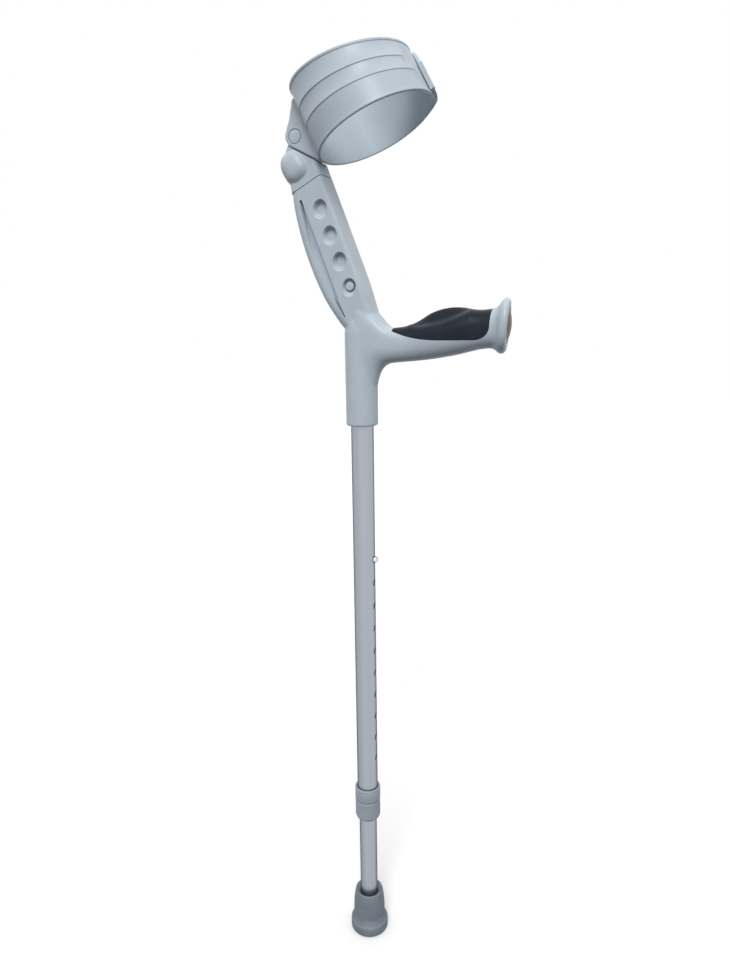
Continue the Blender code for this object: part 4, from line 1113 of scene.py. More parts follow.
    def palm_pad(self) -> bpy.types.Object:
        """Cut the soft pad out of the bar's own skin.

        Returns:
            The finished pad.
        """
        bench = self.shop.bench
        piece = self.under_pad("palm_pad", self.past_pad, 150)
        bench.combine(piece, Combine.SHARE, bench.prism("zone", self.pad_outline(0.0), self.past_sides))
        bed = self.under_pad("bed", self.past_bed, 60, self.pad_thickness - FIT)
        bench.combine(piece, Combine.CUT, bed)
        return self.shop.hand_over(piece, "grip_pad")

    def end_disc(self) -> bpy.types.Object:
        """Spin the domed disc in the bar's end.

        Returns:
            The finished disc.
        """
        at, out = self.end_face()
        edge = self.disc_r - 0.0003
        profile = [(0.0, -self.disc_thickness), (self.disc_r, -self.disc_thickness), (self.disc_r, -0.0004)]
        for radius in between(edge, 0.0, 14):
            profile.append((radius, self.disc_dome * (1 - (radius / edge) ** 2)))
        piece = self.shop.bench.turn("end_cap_disc", profile, 96, at - out * FIT, out)
        return self.shop.hand_over(piece, "end_disc")

    def build(self) -> None:
        """Build all pieces of the handle."""
        self.moulding()
        self.palm_pad()
        self.end_disc()


@dataclass
class TelescopicTubes:
    """Upper tube with its height holes and the leg tube inside it."""

    shop: Workshop
    # Walls of the upper tube and of the leg tube
    wall: float = 0.0012
    leg_wall: float = 0.0013
    # Height holes of the leg, and the drill that cuts them from inside
    hole_pitch: float = 0.025
    hole_count: int = 10
    hole_r: float = 0.0035
    hole_edge: float = 0.0004
    drill_from: float = 0.003
    drill_length: float = 0.009
    ends: float = 0.0003

    def tube(self, name: str, outer: float, bore: float, low: float, high: float) -> bpy.types.Object:
        """Spin one tube with slightly broken edges.

        Args:
            name: Its name.
            outer: Its outer radius.
            bore: Its inner radius.
            low: Height of its foot.
            high: Height of its top.

        Returns:
            The tube.
        """
        edge = self.ends
        profile = [
            (bore, low),
            (outer - edge, low),
            (outer, low + edge),
            (outer, high - edge),
            (outer - edge, high),
            (bore, high),
        ]
        return self.shop.bench.turn(name, profile, 96)

    def drill(self, piece: bpy.types.Object, bore: float, heights: Iterable[float]) -> None:
        """Drill a row of holes through the wall that faces +X, each with a soft countersink.

        Args:
            piece: The tube.
            bore: Its inner radius.
            heights: Heights of the holes.
        """
        deep = self.drill_from + self.wall - self.hole_edge
        wide = self.hole_r + self.hole_edge
        profile = [(0.0, 0.0), (self.hole_r, 0.0), (self.hole_r, deep - 0.0002), (wide, deep + 0.0004)]
        profile += [(wide, self.drill_length), (0.0, self.drill_length)]
        tools = []
        for height in heights:
            at = Vector((bore - self.drill_from, 0.0, height))
            tools.append(self.shop.bench.turn("drill", profile, 40, at, AHEAD))
        self.shop.bench.combine(piece, Combine.CUT, self.shop.bench.join(*tools))

    def build(self) -> None:
        """Build both tubes."""
        low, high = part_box("upper_tube")
        snap = sum(corner.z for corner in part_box("snap_button")) / 2
        upper = self.tube("upper_crutch_tube", high.x, high.x - self.wall, low.z, high.z)
        rows = range(self.hole_count)
        self.drill(upper, high.x - self.wall, [snap - self.hole_pitch * row for row in rows])
        self.shop.hand_over(upper, "upper_tube")
        low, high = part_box("lower_tube")
        lower = self.tube("leg_tube", high.x, high.x - self.leg_wall, low.z, high.z)
        self.drill(lower, high.x - self.leg_wall, [snap])
        self.shop.hand_over(lower, "lower_tube")


def fluted_ring(
    radius: float, height: float, flutes: int, depth: float, per_flute: int, sharp: float = 1.0
) -> Ring:
    """Return a level ring with a dip in its radius at each flute.

    Args:
        radius: Radius between the dips.
        height: Height of the ring.
        flutes: Number of dips.
        depth: Depth of each dip.
        per_flute: Points to each dip.
        sharp: How narrow the dips are. 1 makes a plain wave.

    Returns:
        The ring's points.
    """
    ring = []
    for step in range(flutes * per_flute):
        dip = (0.5 - 0.5 * math.cos(math.tau * step / per_flute)) ** sharp
        angle = math.tau * step / (flutes * per_flute)
        reach = radius - depth * dip
        ring.append(Vector((reach * math.cos(angle), reach * math.sin(angle), height)))
    return ring


@dataclass
class TubeClamp:
    """Collar on the upper tube and the fluted nut under it."""

    shop: Workshop
    # Hidden part of the collar, and how deep the upper tube stands in it
    spigot_r: float = 0.0122
    spigot_wall: float = 0.0009
    lip: float = 0.0017
    grip: float = 0.0166
    # Nut round the spigot
    nut_floor: float = 0.0045
    nut_trench: float = 0.0040
    flutes: int = 26
    flute_depth: float = 0.0006

    def collar(self) -> None:
        """Spin the collar, with its raised rim and its hidden spigot."""
        low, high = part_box("clamp_sleeve")
        reach, top = high.x, high.z
        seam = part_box("clamp_nut")[1].z + FIT
        bore, throat = TUBE_R + FIT, LEG_R + FIT
        ledge = top - self.grip - FIT
        spigot, hollow = self.spigot_r, self.spigot_r - self.spigot_wall
        profile = [
            (bore, top - 0.0010),
            (bore, ledge),
            (throat, ledge),
            (throat, ledge - self.lip),
            (hollow, ledge - self.lip),
            (hollow, low.z),
            (spigot, low.z),
            (spigot, seam),
            (spigot, seam + 0.0004),
            (reach - 0.0008, seam + 0.0004),
            (reach - 0.0002, seam + 0.0007),
            (reach, seam + 0.0013),
            (reach, top - 0.0034),
            (reach - 0.0001, top - 0.0030),
            (reach - 0.0003, top - 0.0027),
            (reach - 0.0003, top - 0.0023),
            (reach, top - 0.0019),
            (reach, top - 0.0012),
            (reach - 0.0004, top - 0.0004),
            (reach - 0.0011, top),
            (bore + 0.0003, top - 0.0004),
        ]
        self.shop.hand_over(self.shop.bench.turn("clamp_collar", profile), "clamp_sleeve")

    def nut(self) -> None:
        """Loft the nut with flutes that fade out at both ends, and a trench behind its thin upper lip."""
        low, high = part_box("clamp_nut")
        reach, bottom, top = high.x, low.z, high.z
        bore, inner = self.spigot_r + FIT, LEG_R + FIT
        outer = [(reach - 0.0034, bottom, 0.0), (reach - 0.0026, bottom + 0.0003, 0.0)]
        outer += [
            (reach - 0.0013, bottom + 0.0014, 0.35),
            (reach - 0.0006, bottom + 0.0027, 0.8),
            (reach - 0.0001, bottom + 0.0042, 1.0),
            (reach, bottom + 0.0055, 1.0),
            (reach, top - 0.0032, 1.0),
            (reach, top - 0.0026, 0.5),
            (reach, top - 0.0022, 0.0),
            (reach, top - 0.0014, 0.0),
            (reach - 0.0003, top - 0.0008, 0.0),
            (reach - 0.0010, top - 0.0006, 0.0),
        ]
        trench, floor = top - self.nut_trench, bottom + self.nut_floor
        hidden = [(reach - 0.0014, trench), (bore, trench), (bore, floor), (inner, floor), (inner, bottom)]
        rings = [fluted_ring(r, z, self.flutes, self.flute_depth * share, 8, 1.6) for r, z, share in outer]
        rings += [fluted_ring(r, z, self.flutes, 0.0, 8) for r, z in hidden]
        piece = self.shop.bench.loft("fluted_nut", rings, endless=True)
        self.shop.hand_over(piece, "clamp_nut", 40.0)

    def build(self) -> None:
        """Build both pieces of the clamp."""
        self.collar()
        self.nut()


@dataclass
class SnapLock:
    """Chromed button that locks the leg."""

    shop: Workshop

    def build(self) -> None:
        """Spin the domed button."""
        low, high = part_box("snap_button")
        radius = (high.z - low.z) / 2
        profile = [(0.0, 0.0), (radius - 0.0002, 0.0), (radius, 0.0002)]
        length = high.x - low.x
        for angle in between(0.0, math.pi / 2, 14):
            profile.append((radius * math.cos(angle), length - radius * (1 - math.sin(angle))))
        profile[-1] = (0.0, length)
        at = Vector((low.x, 0.0, (low.z + high.z) / 2))
        self.shop.hand_over(self.shop.bench.turn("snap_lock_button", profile, 48, at, AHEAD), "snap_button")


@dataclass
class RubberFoot:
    """Rubber tip: a cup with shallow flutes on a wide base with a grooved tread."""

    shop: Workshop
    # Floor under the leg tube, and the radii and heights of base and cup
    floor: float = 0.006
    base_r: float = 0.0207
    body_r: float = 0.0174
    mouth_r: float = 0.0153
    base_height: float = 0.0113
    step_height: float = 0.0177
    # Flutes of the cup
    flutes: int = 16
    flute_depth: float = 0.0005
    # Tread: its depth, and its rings as shares of the base's radius
    tread: float = 0.0015
    tread_rings: Quad = (0.24, 0.44, 0.64, 0.84)
    # Power of the curve by which the cup narrows
    taper: float = 2.4

    def build(self) -> None:
        """Loft the tip and cut its tread."""
        bench = self.shop.bench
        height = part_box("rubber_foot")[1].z
        base, body = self.base_r, self.body_r
        outer = [
            (base - 0.0018, 0.0, 0.0),
            (base - 0.0009, 0.0003, 0.0),
            (base - 0.0003, 0.0009, 0.0),
            (base, 0.0018, 0.0),
            (base, self.base_height * 0.6, 0.0),
            (base - 0.0001, self.base_height - 0.0006, 0.0),
            (base - 0.0004, self.base_height - 0.0001, 0.0),
            (base - 0.0012, self.base_height + 0.0004, 0.0),
            (base - 0.0018, self.base_height + 0.0012, 0.0),
            (body + 0.0002, self.step_height - 0.0008, 0.0),
            (body - 0.0006, self.step_height - 0.0003, 0.0),
            (body - 0.0006, self.step_height + 0.0002, 0.0),
            (body, self.step_height + 0.0006, 0.0),
            (body, self.step_height + 0.0014, 0.6),
            (body, self.step_height + 0.0026, 1.0),
        ]
        start = self.step_height + 0.0026
        for share in between(0.0, 1.0, 16)[1:]:
            radius = mix(body, self.mouth_r, share**self.taper)
            outer.append((radius, start + (height - 0.0012 - start) * share, 1 - ease(share * 1.15)))
        outer += [(self.mouth_r - 0.0003, height - 0.0004, 0.0), (self.mouth_r - 0.0010, height, 0.0)]
        bore = LEG_R + FIT
        inner = [(self.mouth_r - 0.0014, height - 0.0003), (bore + 0.0020, height - 0.0020)]
        inner += [(bore + 0.0004, height - 0.0032), (bore, height - 0.0044), (bore, self.floor)]
        rings = [fluted_ring(r, z, self.flutes, self.flute_depth * share, 10, 2.4) for r, z, share in outer]
        rings += [fluted_ring(r, z, self.flutes, 0.0, 10) for r, z in inner]
        piece = bench.loft("rubber_tip", rings[::-1])
        tools = []
        for share in self.tread_rings:
            middle = base * share
            groove = [
                (middle - 0.0013, -0.002),
                (middle + 0.0013, -0.002),
                (middle + 0.0009, self.tread),
                (middle - 0.0009, self.tread),
            ]
            tools.append(bench.turn("groove", groove, 80))
        bench.combine(piece, Combine.CUT, bench.join(*tools))
        self.shop.hand_over(piece, "rubber_foot", 40.0)


@dataclass
class CuffPost:
    """Square shaft with its rounded head, and the push button in it."""

    shop: Workshop
    lean: Lean
    pivot: Vector
    # Head: where its foot and its neck are along the housing, and how far back it reaches
    head_foot: float = 0.1144
    neck_along: float = 0.1465
    neck_back: float = 0.0138
    head_back: float = 0.0100
    # Seam under the cuff's fork: its distance from the pivot, and its slope
    seam_drop: float = 0.0102
    seam_slope: float = math.radians(27.5)
    # Round bulge: its place, its half sizes out, across, up and down, the power of its form, its turn
    bulge_along: float = 0.025
    bulge_back: float = 0.0092
    bulge: Quad = (0.0153, 0.0193, 0.0197, 0.0146)
    bulge_power: float = 2.5
    bulge_turn: float = math.radians(12.0)
    # Shaft in the housing
    shaft_front: float = 0.009
    shaft_depth: float = 0.0186
    shaft_foot: float = 0.013
    # Push button with its flange, how far its face lies below the housing's, and its rounded edge
    button_r: float = 0.0040
    flange_r: float = 0.0056
    flange: float = 0.0018
    button_sink: float = 0.0020
    button_edge: float = 0.0006
    # Wall of the shaft, and the radius of the cuff's pin
    wall: float = 0.002
    pin_r: float = 0.003
    # Tongue in the fork, with the step in front of it
    tongue_r: float = 0.0084
    tongue_thickness: float = 0.0100
    tongue_width: float = 0.0145
    tongue_root: float = 0.006
    tongue_step: Pair = (0.0262, 0.0024)
    voxel: float = 0.0006

    def __post_init__(self) -> None:
        """Work out the directions of the seam under the cuff's fork."""
        self.seam_along = direction(-self.seam_slope)
        self.seam_up = Vector((-self.seam_along.z, 0.0, self.seam_along.x))

    def head(self) -> bpy.types.Object:
        """Melt the head's block and its round bulge into one skin, and cut both seams.

        Returns:
            The head, without a tongue.
        """
        bench = self.shop.bench
        rows = (
            (self.head_foot - 0.006, self.lean.back + 0.0006),
            (self.head_foot, self.lean.back),
            (self.neck_along, self.neck_back),
            (self.lean.pivot_along - 0.0045, self.head_back),
            (self.lean.pivot_along + 0.010, self.head_back),
        )
        rings = []
        for along in between(rows[0][0], rows[-1][0], 30):
            upper = max(next(index for index, row in enumerate(rows) if row[0] >= along - 1e-9), 1)
            (low_at, low_back), (high_at, high_back) = rows[upper - 1], rows[upper]
            back = mix(low_back, high_back, (along - low_at) / (high_at - low_at))
            section = rounded_box(-back, self.lean.front, self.lean.depth, 0.005, 0.004)
            rings.append(self.lean.ring(along, section))
        piece = bench.loft("post_head", rings)
        bench.clear()
        centre = self.lean.point(self.lean.pivot_along - self.bulge_along, -self.bulge_back)
        bpy.ops.mesh.primitive_uv_sphere_add(segments=64, ring_count=40, radius=1.0)
        knob = bench.started("bulge")
        out_r, side_r, up_r, down_r = self.bulge
        power = self.bulge_power
        for vertex in knob.data.vertices:
            place = vertex.co / sum(abs(value) ** power for value in vertex.co) ** (1 / power)
            vertex.co = (place.x * out_r, place.y * side_r, place.z * (up_r if place.z > 0 else down_r))
        axes = Matrix((self.lean.out, SIDE, self.lean.up)).transposed().to_4x4()
        tilt = Matrix.Rotation(-self.bulge_turn, 4, "Y")
        bench.settle(knob, Matrix.Translation(centre) @ axes @ tilt)
        piece = bench.join(piece, knob)
        bench.melt(piece, self.voxel)
        bench.relax(piece, 3)
        under = bench.slab(self.lean, self.head_foot, -1)
        above = self.pivot + self.seam_up * (0.05 - self.seam_drop)
        over = bench.block(above, self.seam_along, self.seam_up, (0.2, 0.1, 0.1))
        bench.combine(piece, Combine.CUT, under, over)
        return piece

    def tongue(self) -> bpy.types.Object:
        """Draw the tongue that stands in the fork, with its round eye.

        Returns:
            The tongue, drilled for the pin.
        """
        half = self.tongue_width / 2
        dip = math.asin(half / self.tongue_r) - math.pi / 2
        outline = []
        for turn in between(dip, math.pi - dip, 48):
            reach = self.seam_along * math.cos(turn) + self.seam_up * math.sin(turn)
            outline.append(self.pivot + reach * self.tongue_r)
        foot = self.pivot - self.seam_up * (self.seam_drop + self.tongue_root)
        step_to, step_rise = self.tongue_step
        step_top = self.pivot - self.seam_up * (self.seam_drop - step_rise)
        outline += [foot - self.seam_along * half, foot + self.seam_along * step_to]
        outline += [step_top + self.seam_along * step_to, step_top + self.seam_along * half]
        piece = self.shop.bench.prism("tongue", outline, self.tongue_thickness)
        past = self.tongue_thickness
        pin = self.shop.bench.turn("pin", rod(self.pin_r + FIT, -past, past), 48, self.pivot, SIDE)
        return self.shop.bench.combine(piece, Combine.CUT, pin)

    def slider(self) -> None:
        """Put the head, the tongue and the shaft together and cut the button's place."""
        bench = self.shop.bench
        section = rounded_box(-self.shaft_front, self.shaft_front, self.shaft_depth, 0.0015, 0.0015, 6)
        ends = (self.lean.lowest_step - self.shaft_foot, self.head_foot + 0.006)
        shaft = bench.loft("shaft", [self.lean.ring(along, section) for along in ends])
        piece = bench.combine(self.head(), Combine.FUSE, self.tongue(), shaft)
        inner = self.shaft_depth / 2 - self.wall
        top = self.lean.lowest_step + self.flange_r + FIT
        tall = self.shaft_foot + self.flange_r + 0.002
        pocket = bench.block(
            self.lean.point(top - tall / 2 - 0.001, 0.0),
            self.lean.out,
            self.lean.up,
            (2 * (self.flange_r + FIT), 2 * inner, tall + 0.002),
        )
        start = self.lean.point(self.lean.lowest_step, 0.0, -inner - 0.004)
        bore = bench.turn("bore", rod(self.button_r + FIT, 0.0, 0.006), 64, start, SIDE)
        bench.combine(piece, Combine.CUT, pocket, bore)
        piece.name = "cuff_post"
        self.shop.hand_over(piece, "cuff_slider")

    def button(self) -> None:
        """Spin the flanged push button with its softly domed face."""
        inner = self.shaft_depth / 2 - self.wall
        face = self.lean.depth / 2 - self.button_sink
        top = inner - FIT
        profile = [(0.0, top - self.flange), (self.flange_r, top - self.flange), (self.flange_r, top)]
        profile += [(self.button_r, top), (self.button_r, face - 0.0007)]
        edge = self.button_edge
        for angle in between(0.0, math.pi / 2, 7):
            inwards, down = edge * (1 - math.cos(angle)), edge * (1 - math.sin(angle))
            profile.append((self.button_r - inwards, face - down))
        profile.append((0.0, face + 0.0001))
        at = self.lean.point(self.lean.lowest_step, 0.0)
        piece = self.shop.bench.turn("height_button", profile, 64, at, -SIDE)
        self.shop.hand_over(piece, "cuff_button")

    def build(self) -> None:
        """Build the slider and its button."""
        self.slider()
        self.button()


@dataclass
class ArmCuff:
    """Closed arm band with its fork, and the pin that it tilts on."""

    shop: Workshop
    pivot: Vector
    post: CuffPost
    # Rims: X and Z of the middle from the pivot, the radius, and how much the front rises
    low_rim: Quad = (0.0740, 0.0010, 0.0561, math.radians(25.3))
    high_rim: Quad = (0.0492, 0.0505, 0.0550, math.radians(15.6))
    # Wall of the band, and the beads at its rims
    wall: float = 0.0022
    proud: float = 0.0006
    bead: float = 0.0026
    # Raised ribs: shares of the band's height, and the angle at which each has faded away
    line_rise: float = 0.0006
    line_width: float = 0.0022
    lines: tuple[Pair, ...] = ((0.42, 171.0), (0.67, 162.0))
    line_fade: float = 10.0
    # Ends of the band in degrees from the back, and where and how far off one passes over the other
    near_end: float = 194.0
    far_end: float = -181.0
    overlap_from: float = -132.0
    overlap_full: float = -161.0
    overlap_gap: float = 0.0005
    # Tab: its width in degrees, how proud it is, its trim below and above, its skew, where that starts
    tab_angle: float = 5.0
    tab_proud: float = 0.0014
    tab_trim: Pair = (0.0026, 0.0185)
    tab_skew: float = 0.0018
    trim_angle: float = 24.0
    # Degrees from one section of the band to the next
    station: float = 2.0
    # Fork behind the band, its slot for the tongue, and its seam
    fork_depth: float = 0.0262
    fork_edge: float = 0.0015
    fork_gap: float = 0.0004
    fork_slot_r: float = 0.0090
    fork_heel: float = 0.0022
    seam_gap: float = 0.0010
    # Back of the fork, as pairs of degrees above +X and distance from the pivot
    fork_back: tuple[Pair, ...] = (
        (99.5, 0.0227),
        (105.0, 0.0184),
        (113.0, 0.0148),
        (128.0, 0.0120),
        (147.0, 0.0104),
        (168.0, 0.0100),
        (190.0, 0.0098),
        (203.0, 0.0095),
        (215.0, 0.0094),
    )
    # Pin: its round head, and the like cap on the far side
    cap_r: float = 0.0059
    cap_gap: float = 0.00045
    cap: float = 0.002
    # Fillets between fork and band
    fillet_r: float = 0.0040
    fillet_span: Pair = (0.035, 0.90)
    fillet_root: Pair = (0.0009, 0.0012)

    def rim_point(self, rim: Quad, angle: float) -> Vector:
        """Return a point on one rim. Angle 0 is at the back, and 90 degrees is at the near side.

        Args:
            rim: X and Z of its middle from the pivot, its radius, and in radians how much its front rises.
            angle: Where round the rim, in degrees.

        Returns:
            The point.
        """
        x, z, radius, lean = rim
        turn = math.radians(angle)
        centre = self.pivot + Vector((x, 0.0, z))
        return centre - direction(lean) * (radius * math.cos(turn)) - SIDE * (radius * math.sin(turn))

    def band_frame(self, angle: float) -> tuple[Vector, Vector, Vector]:
        """Return the band's outer low edge, outer high edge and outward direction at one angle.

        Args:
            angle: Where round the band, in degrees.

        Returns:
            The two points and the unit direction.
        """
        low, high = self.rim_point(self.low_rim, angle), self.rim_point(self.high_rim, angle)
        ahead = self.rim_point(self.low_rim, angle + 1.0) - low
        outward = ahead.cross(high - low).normalized()
        if outward.dot(low - self.pivot - Vector((self.low_rim[0], 0.0, self.low_rim[1]))) < 0:
            outward = -outward
        return low, high, outward

    def band_section(self, angle: float) -> Ring:
        """Return one section of the band: beads at both rims and two raised ribs between them.

        Args:
            angle: Where round the band, in degrees. Past overlap_from, the band lies over its other end.

        Returns:
            The section.
        """
        low, high, outward = self.band_frame(angle)
        height = (high - low).length
        rise = (high - low) / height
        overlap = ease((self.overlap_from - angle) / (self.overlap_from - self.overlap_full))
        shift = (self.wall + self.proud + self.overlap_gap) * overlap
        on_tab = ease((self.far_end + self.tab_angle - angle) / 0.6)
        narrow = ease((self.far_end + self.trim_angle - angle) / self.trim_angle)
        low_trim = self.tab_trim[0] * narrow
        squeeze = (height - low_trim - self.tab_trim[1] * narrow) / height
        proud = self.wall + self.proud * (1 - on_tab)
        bead = [(0.0002, 0.0), (0.0, 0.0004), (0.0, proud - 0.0007), (0.0002, proud - 0.0002)]
        bead += [(0.0007, proud), (self.bead - 0.0009, proud)]
        bead += [(self.bead - 0.0003, proud - 0.00015), (self.bead, self.wall)]
        outline = list(bead)
        half = self.line_width / 2
        for share, fade_end in self.lines:
            at = height * share
            fade = 1 - ease((abs(angle) - fade_end + self.line_fade) / self.line_fade)
            lift = self.line_rise * fade * (1 - overlap)
            outline += [(at - half, self.wall), (at - 0.75 * half, self.wall + 0.6 * lift)]
            outline += [(at - 0.4 * half, self.wall + lift), (at + 0.1 * half, self.wall + lift)]
            outline += [(at + 0.6 * half, self.wall + 0.5 * lift), (at + half, self.wall)]
        outline += [(height - up, out) for up, out in reversed(bead)]
        ahead = outward.cross(rise)
        ahead = ahead if ahead.dot(self.rim_point(self.low_rim, angle + 1.0) - low) > 0 else -ahead
        ring = []
        for up, out in outline:
            skewed = low + ahead * (self.tab_skew * narrow * up / height)
            lift = on_tab * self.tab_proud if out > self.wall / 3 else 0.0
            reach = out - self.wall - self.proud + shift + lift
            ring.append(skewed + rise * (low_trim + up * squeeze) + outward * reach)
        return ring

    def band(self) -> bpy.types.Object:
        """Loft the band from the tab round to its other end.

        Returns:
            The band.
        """
        tab = self.far_end + self.tab_angle
        angles = [self.far_end, *between(self.far_end + 0.25, tab - 0.6, 4), *between(tab - 0.45, tab, 4)]
        count = round((self.near_end - tab) / self.station)
        angles += between(tab, self.near_end, count + 1)[1:]
        return self.shop.bench.loft("arm_band", [self.band_section(angle) for angle in angles])

    def fork_outline(self) -> list[Vector]:
        """Return the side outline of the fork, behind the band, round the pivot and along the seam.

        Returns:
            The outline in the plane of the handle.
        """
        low, high, _ = self.band_frame(0.0)
        rise = (high - low).normalized()
        inward = Vector((rise.z, 0.0, -rise.x))
        inside = inward * (self.proud + self.wall * 0.75)
        outline = [low + rise * 0.0025 + inside, high - rise * 0.0045 + inside]
        outline.append(high - rise * 0.0055 - inward * 0.0002)
        for angle in between(self.fork_back[0][0], self.fork_back[-1][0], 60):
            _, radius = through(self.fork_back, angle)
            outline.append(self.pivot + direction(math.radians(angle)) * radius)
        foot = self.pivot - self.post.seam_up * (self.post.seam_drop - self.seam_gap)
        outline.append(foot - self.post.seam_along * self.fork_heel)
        reach = (low + rise * 0.0010 - foot).dot(self.post.seam_along)
        outline.append(foot + self.post.seam_along * reach)
        return outline

    def fillet(self, way: int) -> bpy.types.Object:
        """Loft the concave strip in the corner between one side of the fork and the band.

        Args:
            way: 1 for the near side and -1 for the far side.

        Returns:
            The strip, a little sunk into both.
        """
        half = self.fork_depth / 2
        rings = []
        start, end = self.fillet_span
        for share in between(start, end, 40):
            angle = 10.0
            for _ in range(12):
                low, high, outward = self.band_frame(way * angle)
                corner = low.lerp(high, share) - outward * self.proud
                angle += math.degrees((half - abs(corner.y)) / self.low_rim[2])
            rise = (high - low).normalized()
            ahead = rise.cross(outward)
            ahead = ahead if ahead.dot(SIDE) * way < 0 else -ahead
            back = (outward - SIDE * outward.y).normalized()
            reach = self.fillet_r * min(1.0, 0.25 + 6.0 * min(share, 1.0 - share))
            sink = 0.00005
            on_fork = corner + back * reach + SIDE * (way * sink)
            on_band = corner + ahead * reach - outward * sink
            ring = []
            for step in between(0.0, 1.0, 9):
                ring.append(on_fork.lerp(corner, step).lerp(corner.lerp(on_band, step), step))
            below, into = outward * self.fillet_root[0], SIDE * (way * self.fillet_root[1])
            ring += [corner - below + ahead * reach, corner - below + into, on_fork + into]
            rings.append(ring)
        return self.shop.bench.loft("fillet", rings)

    def slot_outline(self) -> list[Vector]:
        """Return the side outline of the fork's slot, round over the tongue and open downwards.

        Returns:
            The outline in the plane of the handle.
        """
        front = self.post.tongue_width / 2 + self.fork_gap
        start = -self.post.seam_slope - math.acos(front / self.fork_slot_r)
        outline = []
        for turn in between(start, math.pi / 2, 36):
            outline.append(self.pivot + direction(turn) * self.fork_slot_r)
        past = 0.04
        outline.append(self.pivot + Vector((-past, 0.0, self.fork_slot_r)))
        outline.append(self.pivot + Vector((-past, 0.0, -past)))
        step_to, step_rise = self.post.tongue_step
        ahead = self.post.seam_along * (step_to + self.fork_gap)
        step_top = self.pivot - self.post.seam_up * (self.post.seam_drop - step_rise - self.fork_gap)
        outline.append(self.pivot - self.post.seam_up * past + ahead)
        outline += [step_top + ahead, step_top + self.post.seam_along * front]
        return outline

    def pin_seat(self) -> bpy.types.Object:
        """Spin the cutter of the pin's bore, with a seat for its head and its cap.

        Returns:
            The cutter.
        """
        seat = self.fork_depth / 2 - self.cap - FIT
        beyond = self.fork_depth / 2 + 0.01
        wide, thin, face = self.cap_r + self.cap_gap, self.post.pin_r + FIT, self.fork_depth / 2
        half = [(thin, seat), (wide, seat), (wide, face - 0.0003), (wide + 0.0003, face)]
        half += [(wide + 0.0003, beyond), (0.0, beyond)]
        profile = [(radius, -height) for radius, height in reversed(half)] + half
        return self.shop.bench.turn("pin_seat", profile, 72, self.pivot, SIDE)

    def cuff(self) -> None:
        """Fuse the fork to the band and cut the tongue's slot and the pin's bore."""
        bench = self.shop.bench
        fork = bench.prism("fork", self.fork_outline(), self.fork_depth)
        bench.round_edges(fork, self.fork_edge, 4, 60.0)
        slot = bench.prism("slot", self.slot_outline(), self.post.tongue_thickness + 2 * self.fork_gap)
        bench.combine(fork, Combine.CUT, slot, self.pin_seat())
        piece = bench.combine(self.band(), Combine.FUSE, fork, self.fillet(1), self.fillet(-1))
        piece.name = "arm_cuff_moulding"
        self.shop.hand_over(piece, "cuff", 36.0)

    def pin(self) -> None:
        """Spin the pin with its round head, and the cap on its far end."""
        face = self.fork_depth / 2
        head, seat, thin = face - self.cap, face - self.cap * 0.5, self.post.pin_r
        end, edge, rim = seat - FIT, 0.0003, 0.0005
        cap = [(self.cap_r, head), (self.cap_r, face - rim), (self.cap_r - 0.3 * rim, face - 0.3 * rim)]
        cap += [(self.cap_r - rim, face), (0.0, face)]
        stem = [(0.0, -end), (thin - edge, -end), (thin, edge - end), (thin, head)]
        hole = [(0.0, seat), (thin + FIT, seat), (thin + FIT, head)]
        turn = self.shop.bench.turn
        self.shop.hand_over(turn("tilt_pin", stem + cap, 72, self.pivot, -SIDE), "pivot_pin")
        self.shop.hand_over(turn("pin_cover", hole + cap, 72, self.pivot, SIDE), "pivot_cap")

    def build(self) -> None:
        """Build the cuff and its pin."""
        self.cuff()
        self.pin()


